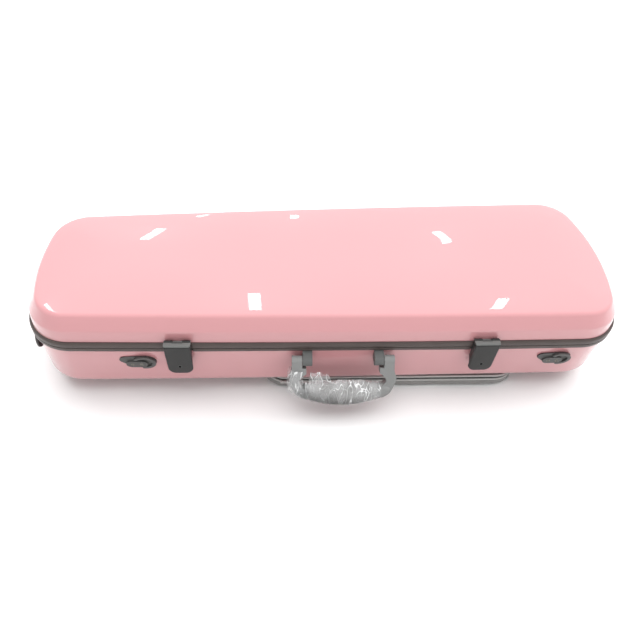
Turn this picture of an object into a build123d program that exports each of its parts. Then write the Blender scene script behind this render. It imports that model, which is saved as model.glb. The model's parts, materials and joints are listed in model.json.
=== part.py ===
from build123d import *
import math
import os

# A hard violin case: a tub and a crowned lid, hinged along the back and closed by two latches.
# X runs along the front wall towards the violin's body end, -Y is the front and Z is up.
# The origin is on the floor, under the middle of the plan. All sizes are millimetres and degrees.

# Plan of the case at the band, deeper at the body end than at the scroll end
case_length = 800.0
body_end_depth = 273.0
scroll_end_depth = 226.0
end_bow = 24.0
side_bow = 3.8
corner_radius = 62.0
least_corner_radius = 6.0

# Heights, and the walls' insets from the band's outer line
pocket_depth = 22.0
base_height = 73.0
base_band_height = 4.5
band_gap = 0.3
band_height = 13.5
lid_wall_height = 30.0
shoulder_height = 48.0
crown_height = 8.0
wall_inset = 3.0
base_draft = 4.0
lid_draft = 2.3
shoulder_inset = 17.0
crown_reach = 100.0
crown_shares = (0.4, 0.8)
crease_radius = 9.0
floor_radius = 14.0
moulding_steps = 2
lining_steps = 1

# Moulded walls and the band's section
base_wall = 4.0
lid_wall = 3.5
rim_width = 9.0
rim_seat = 2.5
rim_lip_round = 2.2
rim_foot_round = 1.6
seat_clearance = 0.2
seal_inset = 4.4
seal_width = 2.0
seal_depth = 1.3
seal_rise = 1.1
seal_clearance = 0.4

# Linings
lining_gap = 0.4
lid_pad = 7.0
ledge_gap = 0.3

# Hollows of the padded bed, placed along the case's own axis
violin_setback = 28.0
violin_length = 364.0
lower_bout = 216.0
violin_depth = 48.0
neck_width = 64.0
neck_length = 136.0
neck_depth = 40.0
scroll_width = 84.0
scroll_length = 104.0
hollow_round = 10.0
bout_shares = (
    (0.0, 0.0), (0.015, 0.30), (0.10, 0.80), (0.24, 1.0), (0.40, 0.84), (0.52, 0.74),
    (0.64, 0.78), (0.80, 0.86), (0.93, 0.62), (0.99, 0.25), (1.0, 0.0),
)

# Cradle and strap for the violin's neck
cradle_setback = 68.0
cradle_length = 46.0
cradle_height = 34.0
notch_width = 32.0
notch_depth = 21.0
strap_thickness = 1.6
strap_width = 22.0
strap_tail = 14.0

# Open tray at the scroll end
tray_setback = 44.0
tray_length = 104.0
tray_width = 124.0
tray_depth = 42.0
tray_wall = 1.6
tray_divider = 40.0

# Lidded box beside the neck
box_setback = 58.0
box_length = 138.0
box_width = 44.0
box_depth = 36.0
box_middle = -77.0
box_ear = 5.0
lid_board = 3.0
board_gap = 0.4
board_barrel = 2.2
board_pin = 0.9
tab_length = 24.0
tab_reach = 6.0
tab_thickness = 1.0

# Hinges along the back
hinge_setback = 170.0
hinge_width = 44.0
hinge_stand = 4.2
hinge_barrel = 3.2
hinge_pin_radius = 1.5
hinge_leaf = 1.8
hinge_leaf_reach = 22.0
hinge_screw_spacing = 26.0
leaf_screw_share = 0.55
leaf_gap = 0.25
knuckle_gap = 0.3
hinge_knuckles = 3

# Latches
latch_setback = 202.5
latch_top_width = 33.5
latch_foot_width = 27.5
latch_foot_round = 8.0
latch_thickness = 2.6
latch_cheek = 2.4
latch_pivot_out = 1.0
latch_pivot_rise = 17.3
latch_barrel = 3.6
latch_pin_radius = 1.1
latch_front_out = 8.0
latch_front_rise = 18.4
latch_belly_out = 9.3
latch_foot_drop = 34.0
latch_hole = 1.0
latch_hole_drop = 17.0
cheek_back = 1.8
cheek_bottom = 30.0
cheek_knee = 22.0
lug_radius = 2.2
lug_width = 12.0
lug_slot = 1.4
latch_clear = 0.9
bracket_plate = 1.0
catch_drop = 10.0
catch_height = 3.0
keeper_width = 20.0
keeper_height = 14.0
keeper_plate = 1.2
keeper_lip = 2.4
keeper_clear = 0.5
keeper_rivet_spacing = 12.0
latch_recess = 2.2
latch_margin = 1.0

# Handle
handle_centre = 12.5
handle_lug_inner = 40.5
handle_lug_width = 12.5
handle_pivot_out = 7.0
handle_pivot_drop = 11.0
handle_lug_nose = 7.5
handle_lug_height = 18.0
handle_pin_radius = 2.0
handle_angle = 29.0
handle_reach = 64.0
handle_gap = 0.5
arm_width = 13.5
arm_thickness = 12.0
arm_edge = 1.8
arm_neck = 9.5
arm_knee = 24.0
arm_bulge = 3.5
arm_lobe = 5.5
arm_foot_slope = 0.45
grip_shoulder = 52.0
grip_shares = (-1.0, -0.8, -0.45, 0.0, 0.45, 0.8, 1.0)
grip_sides = 12
hub_radius = 6.4
grip_half_length = 51.6
grip_top = 30.5
grip_end_top = 35.0
grip_end_foot = 52.5
grip_thickness = 22.0
grip_end_thickness = 15.0
grip_core = 4.5
film_gap = 0.4
film_thickness = 0.4
running_clearance = 0.05

# Hooks for the shoulder straps
hook_left_setback = 147.0
hook_right_setback = 97.0
hook_end_offset = -58.0
hook_drop = 18.5
hook_plate = 2.5
hook_big_radius = 13.5
hook_small_radius = 8.0
hook_length = 47.0
hook_boss = 5.0
hook_arm_radius = 13.0
hook_arm_width = 4.6
hook_arm_height = 3.6
hook_mouth = 1.8
hook_arm_start = -95.0
hook_arm_sweep = 232.0
hook_root_sweep = 50.0
hook_screw_spacing = 11.7
hook_boss_x = -1.5
hook_boss_y = -4.0

# Fasteners
screw_head_radius = 2.6
screw_head_height = 1.2
screw_radius = 1.3
screw_length = 2.4
screw_fit = 0.02
screw_sides = 10

# Rubber feet on the back wall
foot_radius = 10.0
foot_height = 13.0
foot_draft = 6.0
foot_setback = 105.0
foot_low = 34.0
foot_high = 78.0

# Zipped pocket under the base
pocket_length = 363.0
pocket_width = 205.0
pocket_setback = 130.0
pocket_front_inset = 10.0
pocket_radius = 32.0
piping_radius = 1.6
piping_sides = 8
piping_low = 12.2
piping_high = 20.1
zip_height = 3.9
zip_thickness = 1.0
zip_chain = 0.8
slider_setback = 45.0
slider_length = 11.0
slider_height = 4.0
slider_depth = 2.6
slider_gap = 0.3
slider_ear = 1.0
slider_ear_reach = 2.6
slider_ear_round = 1.3
pull_pin = 0.6
pull_length = 21.0
pull_width = 5.0
pull_thickness = 1.4
pull_eye = 1.1

# Bow holders in the lid
bow_spread = 38.0
spinner_setback = 132.0
holder_length = 58.0
holder_width = 26.0
holder_height = 12.0
spinner_stem = 4.0
spinner_gap = 0.4
spinner_length = 30.0
spinner_width = 11.0
spinner_thickness = 5.0
tip_setback = 82.0
tip_length = 44.0
tip_width = 26.0
tip_height = 20.0
tip_wall = 2.5

overrun = 5.0

# Worked out from the sizes above
half_length = case_length / 2
mid_half_depth = (body_end_depth + scroll_end_depth) / 4
half_taper = (body_end_depth - scroll_end_depth) / 4
taper_angle = math.degrees(math.atan2(half_taper, half_length))
front_line = mid_half_depth * math.cos(math.radians(taper_angle))
end_radius = (mid_half_depth**2 + end_bow**2) / (2 * end_bow)
base_z = pocket_depth
band_z = base_z + base_height
parting_z = band_z + base_band_height
lid_band_z = parting_z + band_gap
band_top_z = band_z + band_height
wall_top_z = band_z + lid_wall_height
shoulder_z = band_z + shoulder_height
base_shell_top = band_z + rim_seat
lid_shell_foot = band_top_z - rim_seat
bed_top = band_z - lining_gap
violin_end = half_length - violin_setback
neck_start = violin_end - violin_length
neck_end = neck_start - neck_length
scroll_end = neck_end - scroll_length
cradle_centre = neck_start - cradle_setback
tray_centre = tray_setback + tray_length / 2 - half_length
box_rim_length = box_length + 2 * box_ear
box_centre = tray_centre + tray_length / 2 + box_setback + box_rim_length / 2
pocket_centre = half_length - pocket_setback - pocket_length / 2
slider_place = pocket_centre - pocket_length / 2 + slider_setback
spinner_place = half_length - spinner_setback
tip_place = tip_setback - half_length
foot_spread = half_length - foot_setback
hinge_spacing = half_length - hinge_setback
latch_spread = half_length - latch_setback

os.makedirs("parts", exist_ok=True)


def finish(piece, name):
    """Label a finished piece and write it."""
    piece.part.label = name
    export_step(piece.part, f"parts/{name}.step")


def case_plane(height):
    """Level plane turned to the case's own long axis."""
    return Plane.XY.offset(height).rotated((0, 0, taper_angle))


def to_row(x, y):
    """Point of the case's own axes, turned so that the front wall lies along X."""
    turn = math.radians(taper_angle)
    return (x * math.cos(turn) - y * math.sin(turn), x * math.sin(turn) + y * math.cos(turn))


def sagitta(half_chord, radius):
    """Rise of an arc over its chord."""
    return radius - math.sqrt(radius**2 - half_chord**2)


def half_depth(x, inset):
    """Half of the plan's depth at a place along the case's axis."""
    share = x / half_length
    return mid_half_depth + half_taper * share - side_bow * share**2 - inset


def plan(inset):
    """The bowed, tapered plan, drawn in from the band's outer line."""
    reach = half_length - inset
    bow_radius = end_radius - inset
    wide_x = reach - sagitta(half_depth(half_length, inset), bow_radius)
    narrow_x = reach - sagitta(half_depth(-half_length, inset), bow_radius)
    wide = half_depth(wide_x, inset)
    narrow = half_depth(-narrow_x, inset)
    middle = half_depth(0, inset)
    with BuildSketch() as outline:
        with BuildLine():
            ThreePointArc((-narrow_x, -narrow), (0, -middle), (wide_x, -wide))
            ThreePointArc((wide_x, -wide), (reach, 0), (wide_x, wide))
            ThreePointArc((wide_x, wide), (0, middle), (-narrow_x, narrow))
            ThreePointArc((-narrow_x, narrow), (-reach, 0), (-narrow_x, -narrow))
        make_face()
        fillet(outline.vertices(), max(corner_radius - inset, least_corner_radius))
    return outline.sketch


def inner_profile(points, thickness, first_height):
    """The same (inset, height) profile, one wall further in, starting at a given height."""
    upward = math.copysign(1, points[-1][1] - points[0][1])
    normals = []
    for start, end in zip(points, points[1:]):
        run = math.hypot(end[0] - start[0], end[1] - start[1])
        normals.append((upward * (end[1] - start[1]) / run, -upward * (end[0] - start[0]) / run))
    moved = []
    for point, before, after in zip(points, normals[:1] + normals, normals + normals[-1:]):
        scale = thickness / (1 + before[0] * after[0] + before[1] * after[1])
        moved.append((point[0] + scale * (before[0] + after[0]), point[1] + scale * (before[1] + after[1])))
    lean = (moved[1][0] - moved[0][0]) / (moved[1][1] - moved[0][1])
    moved[0] = (moved[0][0] + lean * (first_height - moved[0][1]), first_height)
    return moved


def eased(points, corners, steps):
    """Profile with some corners, given as {index: radius}, rounded into short chords."""
    result = []
    for index, point in enumerate(points):
        if index not in corners:
            result.append(point)
            continue
        corner = Vector(*point)
        back = (Vector(*points[index - 1]) - corner).normalized()
        forth = (Vector(*points[index + 1]) - corner).normalized()
        turn = math.pi - math.radians(back.get_angle(forth))
        radius = corners[index]
        centre = corner + (back + forth).normalized() * (radius / math.cos(turn / 2))
        start = corner + back * (radius * math.tan(turn / 2)) - centre
        end = corner + forth * (radius * math.tan(turn / 2)) - centre
        for step in range(steps + 1):
            share = step / steps
            near = math.sin((1 - share) * turn) / math.sin(turn)
            far = math.sin(share * turn) / math.sin(turn)
            place = centre + start * near + end * far
            result.append((place.X, place.Y))
    return result


def stack(profile):
    """Solid that follows the plan at each (inset, height) of a profile."""
    with BuildPart() as form:
        for inset, height in profile:
            with BuildSketch(case_plane(height)):
                add(plan(inset))
        loft(ruled=True)
    return form.part


def ring(outer_inset, inner_inset, low, high):
    """Band of the plan between two insets and two heights."""
    with BuildPart() as form:
        with BuildSketch(case_plane(low)):
            add(plan(outer_inset))
            add(plan(inner_inset), mode=Mode.SUBTRACT)
        extrude(amount=high - low)
    return form.part


# Profiles of the two mouldings, as (inset, height)

base_foot_inset = wall_inset + base_draft
base_points = [
    (wall_inset, base_shell_top),
    (base_foot_inset, base_z),
    (base_foot_inset + 2 * floor_radius, base_z),
]


def crown_points():
    """Crown of the lid, from its shoulder to the flat at its middle."""
    points = []
    for share in crown_shares:
        inset = shoulder_inset + share * (crown_reach - shoulder_inset)
        points.append((inset, shoulder_z + crown_height * (1 - (1 - share) ** 2)))
    return points


lid_points = [
    (wall_inset, lid_shell_foot),
    (wall_inset + lid_draft, wall_top_z),
    (shoulder_inset, shoulder_z),
    *crown_points(),
]


def base_inset_at(height):
    """Inset of the base wall's outer face at a height."""
    return wall_inset + base_draft * (base_shell_top - height) / (base_shell_top - base_z)


def lid_inset_at(height):
    """Inset of the lid wall's outer face at a height."""
    return wall_inset + lid_draft * (height - lid_shell_foot) / (wall_top_z - lid_shell_foot)


def front_plane(x, height, inset=0.0):
    """Plane on the front wall: its x runs along the wall, its y is up and it faces outwards."""
    slope = 2 * side_bow * x / half_length**2
    y = -front_line + inset + side_bow * (x / half_length) ** 2
    return Plane(origin=(x, y, height), x_dir=(1, slope, 0), z_dir=(slope, -1, 0))


def side_plane(x):
    """Cross-section of the front wall: its x is outwards from the band's line and its y is the height."""
    front = front_plane(x, 0)
    return Plane(origin=front.origin, x_dir=front.z_dir, z_dir=front.x_dir * -1)


def hinge_plane(s):
    """Cross-section of the back wall at a place along the hinge line, with its x outwards."""
    along = math.radians(2 * taper_angle)
    foot_x, foot_y = to_row(0, mid_half_depth)
    origin = (foot_x + s * math.cos(along), foot_y + s * math.sin(along), 0)
    return Plane(
        origin=origin,
        x_dir=(-math.sin(along), math.cos(along), 0),
        z_dir=(math.cos(along), math.sin(along), 0),
    )


def wall_plane(origin_x, origin_y, height, angle):
    """Plane on the leaning base wall, at a place of the plan and with its outward angle."""
    turn = math.radians(angle)
    return Plane(
        origin=(origin_x, origin_y, height),
        x_dir=(-math.sin(turn), math.cos(turn), 0),
        z_dir=(math.cos(turn), math.sin(turn), -base_draft / (base_shell_top - base_z)),
    )


def front_wall_plane(x, height):
    """Plane on the front of the base wall."""
    place = front_plane(x, height, base_inset_at(height))
    angle = math.degrees(math.atan2(place.z_dir.Y, place.z_dir.X))
    return wall_plane(place.origin.X, place.origin.Y, height, angle)


def end_wall_plane(side, offset, height):
    """Plane on an end of the base wall, side -1 at the scroll end and +1 at the body end."""
    inset = base_inset_at(height)
    radius = end_radius - inset
    x = side * (half_length - inset - sagitta(abs(offset), radius))
    origin_x, origin_y = to_row(x, offset)
    lean = side * math.degrees(math.asin(offset / radius))
    angle = taper_angle + lean + (0 if side > 0 else 180)
    return wall_plane(origin_x, origin_y, height, angle)


def back_wall_plane(x, height):
    """Plane on the back of the base wall."""
    inset = base_inset_at(height)
    origin_x, origin_y = to_row(x, half_depth(x, inset))
    angle = 90 + 2 * taper_angle - math.degrees(2 * side_bow * x / half_length**2)
    return wall_plane(origin_x, origin_y, height, angle)


hinge_places = (-hinge_spacing, 0.0, hinge_spacing)
hinge_names = ("scroll_end", "middle", "body_end")
latch_places = {"left": -latch_spread, "right": latch_spread}
lug_places = {
    "left": handle_centre - handle_lug_inner - handle_lug_width / 2,
    "right": handle_centre + handle_lug_inner + handle_lug_width / 2,
}
hook_z = band_z - hook_drop
hook_planes = {
    "front_left": front_wall_plane(hook_left_setback - half_length, hook_z),
    "front_right": front_wall_plane(half_length - hook_right_setback, hook_z),
    "scroll_end": end_wall_plane(-1, hook_end_offset, hook_z),
    "body_end": end_wall_plane(1, hook_end_offset, hook_z),
}

# Strap hooks: a plate, a boss for two screws and a snail arm that stands clear of the plate

hook_big_x = hook_length / 2 - hook_big_radius
hook_small_x = hook_small_radius - hook_length / 2
hook_screw_places = [
    (hook_boss_x - hook_screw_spacing / 2, hook_boss_y),
    (hook_boss_x + hook_screw_spacing / 2, hook_boss_y),
]
hook_boss_top = hook_plate + hook_boss
hook_arm_centre = (hook_big_x - hook_arm_width / 2, 0)
hook_arm = CenterArc(hook_arm_centre, hook_arm_radius, hook_arm_start, hook_arm_sweep)
hook_root = CenterArc(hook_arm_centre, hook_arm_radius, hook_arm_start, hook_root_sweep)

for name, plane in hook_planes.items():
    seat = plane.offset(leaf_gap)
    with BuildPart() as strap_hook:
        with BuildSketch(seat):
            with Locations((hook_big_x, 0)):
                Circle(hook_big_radius)
            with Locations((hook_small_x, hook_small_radius / 2)):
                Circle(hook_small_radius)
            make_hull()
        extrude(amount=hook_plate)
        with BuildSketch(seat):
            with Locations((hook_boss_x, hook_boss_y)):
                SlotCenterToCenter(hook_screw_spacing, 2 * hook_small_radius)
        extrude(amount=hook_boss_top)
        with BuildSketch(seat.offset(hook_plate + hook_mouth)):
            SlotArc(hook_arm, hook_arm_width)
        extrude(amount=hook_arm_height)
        with BuildSketch(seat):
            SlotArc(hook_root, hook_arm_width)
        extrude(amount=hook_plate + hook_mouth)
        with BuildSketch(seat):
            with Locations(*hook_screw_places):
                Circle(screw_radius + screw_fit)
        extrude(amount=hook_boss_top, mode=Mode.SUBTRACT)
    finish(strap_hook, f"strap_hook_{name}")

# Shells: each moulding is its outer form less the same form one wall further in

creases = {1: crease_radius, 2: crease_radius}


def base_form(inset, top, foot_round, steps):
    """Tub form, one given thickness inside the moulding's outer face."""
    points = inner_profile(base_points, inset, top)
    return stack(eased(points, {1: foot_round}, steps))


def lid_form(inset, foot, steps):
    """Crowned lid form, one given thickness inside the moulding's outer face."""
    points = inner_profile(lid_points, inset, foot)
    return stack(eased(points, {index: radius - inset / 2 for index, radius in creases.items()}, steps))


with BuildPart() as base_shell:
    add(base_form(0, base_shell_top, floor_radius, moulding_steps))
    add(
        base_form(base_wall, base_shell_top + overrun, floor_radius - base_wall, moulding_steps),
        mode=Mode.SUBTRACT,
    )

with BuildPart() as lid_shell:
    add(lid_form(0, lid_shell_foot, moulding_steps))
    add(lid_form(lid_wall, lid_shell_foot - overrun, moulding_steps), mode=Mode.SUBTRACT)

# Band: a rim on each half, with a seat for the wall's edge and a groove for the seal.
# The base rim is set back where the cheeks of the latches hang past it.

recess_half_width = latch_top_width / 2 + latch_margin

with BuildPart() as base_rim:
    with BuildSketch(case_plane(band_z)):
        add(plan(0))
    extrude(amount=base_band_height)
    fillet(base_rim.edges().group_by(Axis.Z)[0], rim_foot_round)
    with BuildSketch(case_plane(band_z - overrun)):
        add(plan(rim_width))
    extrude(amount=base_band_height + 2 * overrun, mode=Mode.SUBTRACT)
    add(
        ring(wall_inset - seat_clearance, wall_inset + base_wall + seat_clearance,
             band_z - overrun, base_shell_top),
        mode=Mode.SUBTRACT,
    )
    add(
        ring(seal_inset, seal_inset + seal_width, parting_z - seal_depth, parting_z + overrun),
        mode=Mode.SUBTRACT,
    )
    for x in latch_places.values():
        with BuildSketch(side_plane(x)):
            with Locations((0, band_z + base_band_height / 2)):
                Rectangle(2 * latch_recess, base_band_height + 2 * overrun)
        extrude(amount=recess_half_width, both=True, mode=Mode.SUBTRACT)
finish(base_rim, "base_rim")

with BuildPart() as rim_seal:
    add(ring(seal_inset, seal_inset + seal_width, parting_z - seal_depth, parting_z + seal_rise))
finish(rim_seal, "rim_seal")

with BuildPart() as lid_rim:
    with BuildSketch(case_plane(lid_band_z)):
        add(plan(0))
    extrude(amount=band_top_z - lid_band_z)
    fillet(lid_rim.edges().group_by(Axis.Z)[-1], rim_lip_round)
    with BuildSketch(case_plane(lid_band_z - overrun)):
        add(plan(rim_width))
    extrude(amount=band_top_z - lid_band_z + 2 * overrun, mode=Mode.SUBTRACT)
    add(
        ring(wall_inset - seat_clearance, wall_inset + lid_wall + 2 * seat_clearance,
             lid_shell_foot, band_top_z + overrun),
        mode=Mode.SUBTRACT,
    )
    add(
        ring(seal_inset - seal_clearance, seal_inset + seal_width + seal_clearance,
             lid_band_z - overrun, parting_z + seal_rise + seal_clearance),
        mode=Mode.SUBTRACT,
    )
finish(lid_rim, "lid_rim")

# Padded bed of the base, with the hollows for the violin, the tray and the lidded box


def rounded_box(centre_x, centre_y, length, width, top, depth, corner):
    """Upright block with rounded corners, laid along the case's axis and hanging from its top."""
    with BuildPart() as form:
        with BuildSketch(case_plane(top - depth)):
            with Locations((centre_x, centre_y)):
                RectangleRounded(length, width, corner)
        extrude(amount=depth)
    return form.part


def violin_hollow():
    """Hollow that follows the violin's bouts, waist and shoulders."""
    points = [
        (violin_end - along * violin_length, across * lower_bout / 2) for along, across in bout_shares
    ]
    with BuildPart() as form:
        with BuildSketch(case_plane(bed_top - violin_depth)):
            with BuildLine():
                Spline(*points, tangents=((0, 1), (0, -1)))
                mirror(about=Plane.XZ)
            make_face()
        extrude(amount=violin_depth + overrun)
    return form.part


scroll_run = scroll_length + scroll_width / 4
board_rise = lid_board + board_gap

with BuildPart() as base_lining:
    bed_inset = base_wall + lining_gap
    add(base_form(bed_inset, bed_top, floor_radius - base_wall, moulding_steps))
    add(violin_hollow(), mode=Mode.SUBTRACT)
    add(
        rounded_box((neck_start + neck_end) / 2, 0, neck_length + neck_width, neck_width,
                    bed_top + overrun, neck_depth + overrun, hollow_round),
        mode=Mode.SUBTRACT,
    )
    add(
        rounded_box(scroll_end + scroll_run / 2, 0, scroll_run, scroll_width,
                    bed_top + overrun, violin_depth + overrun, hollow_round),
        mode=Mode.SUBTRACT,
    )
    add(
        rounded_box(tray_centre, 0, tray_length + 2 * lining_gap, tray_width + 2 * lining_gap,
                    bed_top + overrun, tray_depth + lining_gap + overrun, hollow_round + lining_gap),
        mode=Mode.SUBTRACT,
    )
    add(
        rounded_box(box_centre, box_middle, box_rim_length + 2 * lining_gap, box_width + 2 * lining_gap,
                    bed_top + overrun, box_depth + lining_gap + overrun, tray_wall),
        mode=Mode.SUBTRACT,
    )
finish(base_lining, "base_lining")

# Cradle under the violin's neck and the soft strap laid over it

cradle_top = bed_top - neck_depth + ledge_gap + cradle_height
cradle_width = neck_width - 2 * (strap_thickness + 2 * lining_gap)

with BuildPart() as neck_cradle:
    add(
        rounded_box(cradle_centre, 0, cradle_length, cradle_width, cradle_top, cradle_height, tray_wall)
    )
    with BuildSketch(Plane(
        origin=(*to_row(cradle_centre - cradle_length, 0), 0),
        x_dir=(*to_row(0, 1), 0),
        z_dir=(*to_row(1, 0), 0),
    )):
        with Locations((0, cradle_top + notch_depth / 2)):
            SlotOverall(3 * notch_depth, notch_width, rotation=90)
    extrude(amount=2 * cradle_length, mode=Mode.SUBTRACT)
finish(neck_cradle, "neck_cradle")

strap_outer = cradle_width / 2 + lining_gap + strap_thickness
strap_under = cradle_top + lining_gap

with BuildPart() as neck_strap:
    with BuildSketch(Plane(
        origin=(*to_row(cradle_centre - strap_width / 2, 0), 0),
        x_dir=(*to_row(0, 1), 0),
        z_dir=(*to_row(1, 0), 0),
    )):
        with Locations((0, strap_under + strap_thickness)):
            RectangleRounded(2 * strap_outer, 2 * strap_tail, 2 * strap_thickness, align=(Align.CENTER, Align.MAX))
        with Locations((0, strap_under)):
            RectangleRounded(2 * (strap_outer - strap_thickness), 4 * strap_tail, strap_thickness / 2,
                             align=(Align.CENTER, Align.MAX), mode=Mode.SUBTRACT)
        with Locations((0, strap_under - strap_tail)):
            Rectangle(3 * strap_outer, 4 * strap_tail, align=(Align.CENTER, Align.MAX), mode=Mode.SUBTRACT)
    extrude(amount=strap_width)
finish(neck_strap, "neck_strap")

# Open tray at the scroll end, with one divider

with BuildPart() as accessory_tray:
    add(rounded_box(tray_centre, 0, tray_length, tray_width, bed_top, tray_depth, hollow_round))
    inner_length = tray_length - 2 * tray_wall
    inner_width = tray_width - 2 * tray_wall
    add(
        rounded_box(tray_centre, 0, inner_length, inner_width, bed_top + overrun,
                    tray_depth - tray_wall + overrun, hollow_round - tray_wall),
        mode=Mode.SUBTRACT,
    )
    add(
        rounded_box(tray_centre, tray_divider - tray_width / 2, inner_length + tray_wall, tray_wall,
                    bed_top - hollow_round, tray_depth - hollow_round, tray_wall / 3)
    )
finish(accessory_tray, "accessory_tray")

# Lidded box beside the neck. Its board turns on a pin held in two ears at the edge next to the neck.

pin_y = box_middle + box_width / 2 - board_barrel - board_gap
pin_z = bed_top - board_barrel


def pin_cylinder(radius, length):
    """Round bar on the box lid's turning line."""
    with BuildPart() as form:
        with BuildSketch(Plane(
            origin=(*to_row(box_centre, pin_y), pin_z),
            x_dir=(*to_row(0, 1), 0),
            z_dir=(*to_row(1, 0), 0),
        )):
            Circle(radius)
        extrude(amount=length / 2, both=True)
    return form.part


with BuildPart() as box_shell:
    add(rounded_box(box_centre, box_middle, box_rim_length, box_width, bed_top, box_depth, tray_wall))
    add(
        rounded_box(box_centre, box_middle, box_length + 2 * board_gap, box_width + 2 * overrun,
                    bed_top + overrun, board_rise + board_barrel + overrun, tray_wall / 2),
        mode=Mode.SUBTRACT,
    )
    add(
        rounded_box(box_centre, box_middle, box_length - 2 * tray_wall, box_width - 2 * tray_wall,
                    bed_top + overrun, box_depth - tray_wall + overrun, hollow_round),
        mode=Mode.SUBTRACT,
    )
    add(pin_cylinder(board_pin + screw_fit, box_rim_length - tray_wall), mode=Mode.SUBTRACT)
finish(box_shell, "accessory_box")

with BuildPart() as box_pin:
    add(pin_cylinder(board_pin, box_rim_length - tray_wall - board_gap))
finish(box_pin, "accessory_pin")

board_low = box_middle - box_width / 2
with BuildPart() as box_lid:
    add(
        rounded_box(box_centre, (board_low + pin_y) / 2, box_length, pin_y - board_low, bed_top,
                    lid_board, tray_wall)
    )
    add(pin_cylinder(board_barrel, box_length))
    add(pin_cylinder(board_pin + running_clearance, 2 * box_length), mode=Mode.SUBTRACT)
finish(box_lid, "accessory_lid")

with BuildPart() as lid_tab:
    add(
        rounded_box(box_centre, board_low + tab_reach / 2, tab_length, 2 * tab_reach,
                    bed_top + ledge_gap / 3 + tab_thickness, tab_thickness, tab_reach / 2)
    )
finish(lid_tab, "accessory_lid_tab")

# Padding inside the lid, standing on the rim's inner ledge

with BuildPart() as lid_lining:
    lining_foot = band_top_z + ledge_gap
    add(lid_form(lid_wall + lining_gap, lining_foot, moulding_steps))
    add(lid_form(lid_wall + lining_gap + lid_pad, lining_foot - overrun, lining_steps), mode=Mode.SUBTRACT)
finish(lid_lining, "lid_lining")

# Bow holders: a block under the lid's padding that carries a turning spinner, and a pocket for the tip


def ceiling_at(inset):
    """Height of the lid padding's inner face at an inset, a little under its crown."""
    share = min(1, (inset - shoulder_inset) / (crown_reach - shoulder_inset))
    rise = shoulder_z + crown_height * (1 - (1 - share) ** 2)
    return rise - lid_wall - lining_gap - lid_pad


bow_inset = half_depth(0, bow_spread + holder_width / 2)
holder_top = ceiling_at(bow_inset) - 2 * lining_gap
spinner_top = holder_top - holder_height - spinner_gap
tip_top = ceiling_at(half_depth(tip_place, bow_spread + tip_width / 2)) - 3 * lining_gap

for name, side in {"front": -1, "back": 1}.items():
    with BuildPart() as bow_holder:
        add(
            rounded_box(spinner_place, side * bow_spread, holder_length, holder_width, holder_top,
                        holder_height, holder_width / 3)
        )
        with BuildSketch(case_plane(holder_top - holder_height)):
            with Locations((spinner_place, side * bow_spread)):
                Circle(spinner_stem + running_clearance)
        extrude(amount=holder_height / 2, mode=Mode.SUBTRACT)
    finish(bow_holder, f"bow_holder_{name}")

    with BuildPart() as bow_spinner:
        add(
            rounded_box(spinner_place, side * bow_spread, spinner_length, spinner_width, spinner_top,
                        spinner_thickness, spinner_width / 2 - tray_wall)
        )
        with BuildSketch(case_plane(spinner_top)):
            with Locations((spinner_place, side * bow_spread)):
                Circle(spinner_stem)
        extrude(amount=holder_height / 2)
    finish(bow_spinner, f"bow_spinner_{name}")

    with BuildPart() as tip_pocket:
        turned = Plane(
            origin=(*to_row(tip_place - tip_length / 2, side * bow_spread), tip_top),
            x_dir=(*to_row(0, 1), 0),
            z_dir=(*to_row(1, 0), 0),
        )
        with BuildSketch(turned):
            Rectangle(tip_width, tip_height / 2, align=(Align.CENTER, Align.MAX))
            with Locations((0, -tip_height / 2)):
                Ellipse(tip_width / 2, tip_height / 2)
        extrude(amount=tip_length)
        with BuildSketch(turned.offset(tip_wall)):
            with Locations((0, -tip_height / 2)):
                Ellipse(tip_width / 2 - tip_wall, tip_height / 2 - tip_wall)
        extrude(amount=tip_length, mode=Mode.SUBTRACT)
    finish(tip_pocket, f"bow_tip_pocket_{name}")

# Screws: each head lies on the piece it holds and each shank ends inside the moulded wall

shell_holes = []


def screws(places, depth):
    """Screws whose heads lie on the given planes, with their holes noted for the walls."""
    with BuildPart() as group:
        for place in places:
            with BuildSketch(place):
                RegularPolygon(screw_head_radius, screw_sides)
            extrude(amount=screw_head_height)
            with BuildSketch(place):
                RegularPolygon(screw_radius, screw_sides)
            extrude(amount=-depth)
            with BuildPart(mode=Mode.PRIVATE) as hole:
                with BuildSketch(place):
                    RegularPolygon(screw_radius + screw_fit, screw_sides)
                extrude(amount=-depth - screw_fit)
            shell_holes.append(hole.part)
    return group


hook_screw_seats = [
    Plane(
        origin=plane.offset(leaf_gap + hook_boss_top).from_local_coords((*place, 0)),
        x_dir=plane.x_dir,
        z_dir=plane.z_dir,
    )
    for plane in hook_planes.values()
    for place in hook_screw_places
]
finish(screws(hook_screw_seats, hook_boss_top + leaf_gap + screw_length), "hook_screws")

# Hinges: two leaves with interlocking knuckles round a pin, each screwed to its wall

hinge_z = parting_z + band_gap / 2
knuckle = hinge_width / hinge_knuckles


def hinge_bar(s, radius, start, length):
    """Round bar on the hinge line, from a place across a hinge's width."""
    with BuildPart() as form:
        with BuildSketch(hinge_plane(s + start - hinge_width / 2)):
            with Locations((hinge_stand, hinge_z)):
                Circle(radius)
        extrude(amount=length)
    return form.part


def leaf_lines(s, upper):
    """Wall and band lines of a leaf, as (out, height) points from the parting to the leaf's end."""
    bow = leaf_gap - side_bow * (s / half_length) ** 2
    if upper:
        near = hinge_z + band_gap
        edge = band_top_z + leaf_gap
        far = lid_band_z + hinge_leaf_reach
        return (bow, near), (bow, edge), (bow - lid_inset_at(edge), edge), (bow - lid_inset_at(far), far)
    near = hinge_z - band_gap
    edge = band_z - leaf_gap
    far = parting_z - hinge_leaf_reach
    return (bow, near), (bow, edge), (bow - base_inset_at(edge), edge), (bow - base_inset_at(far), far)


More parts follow.
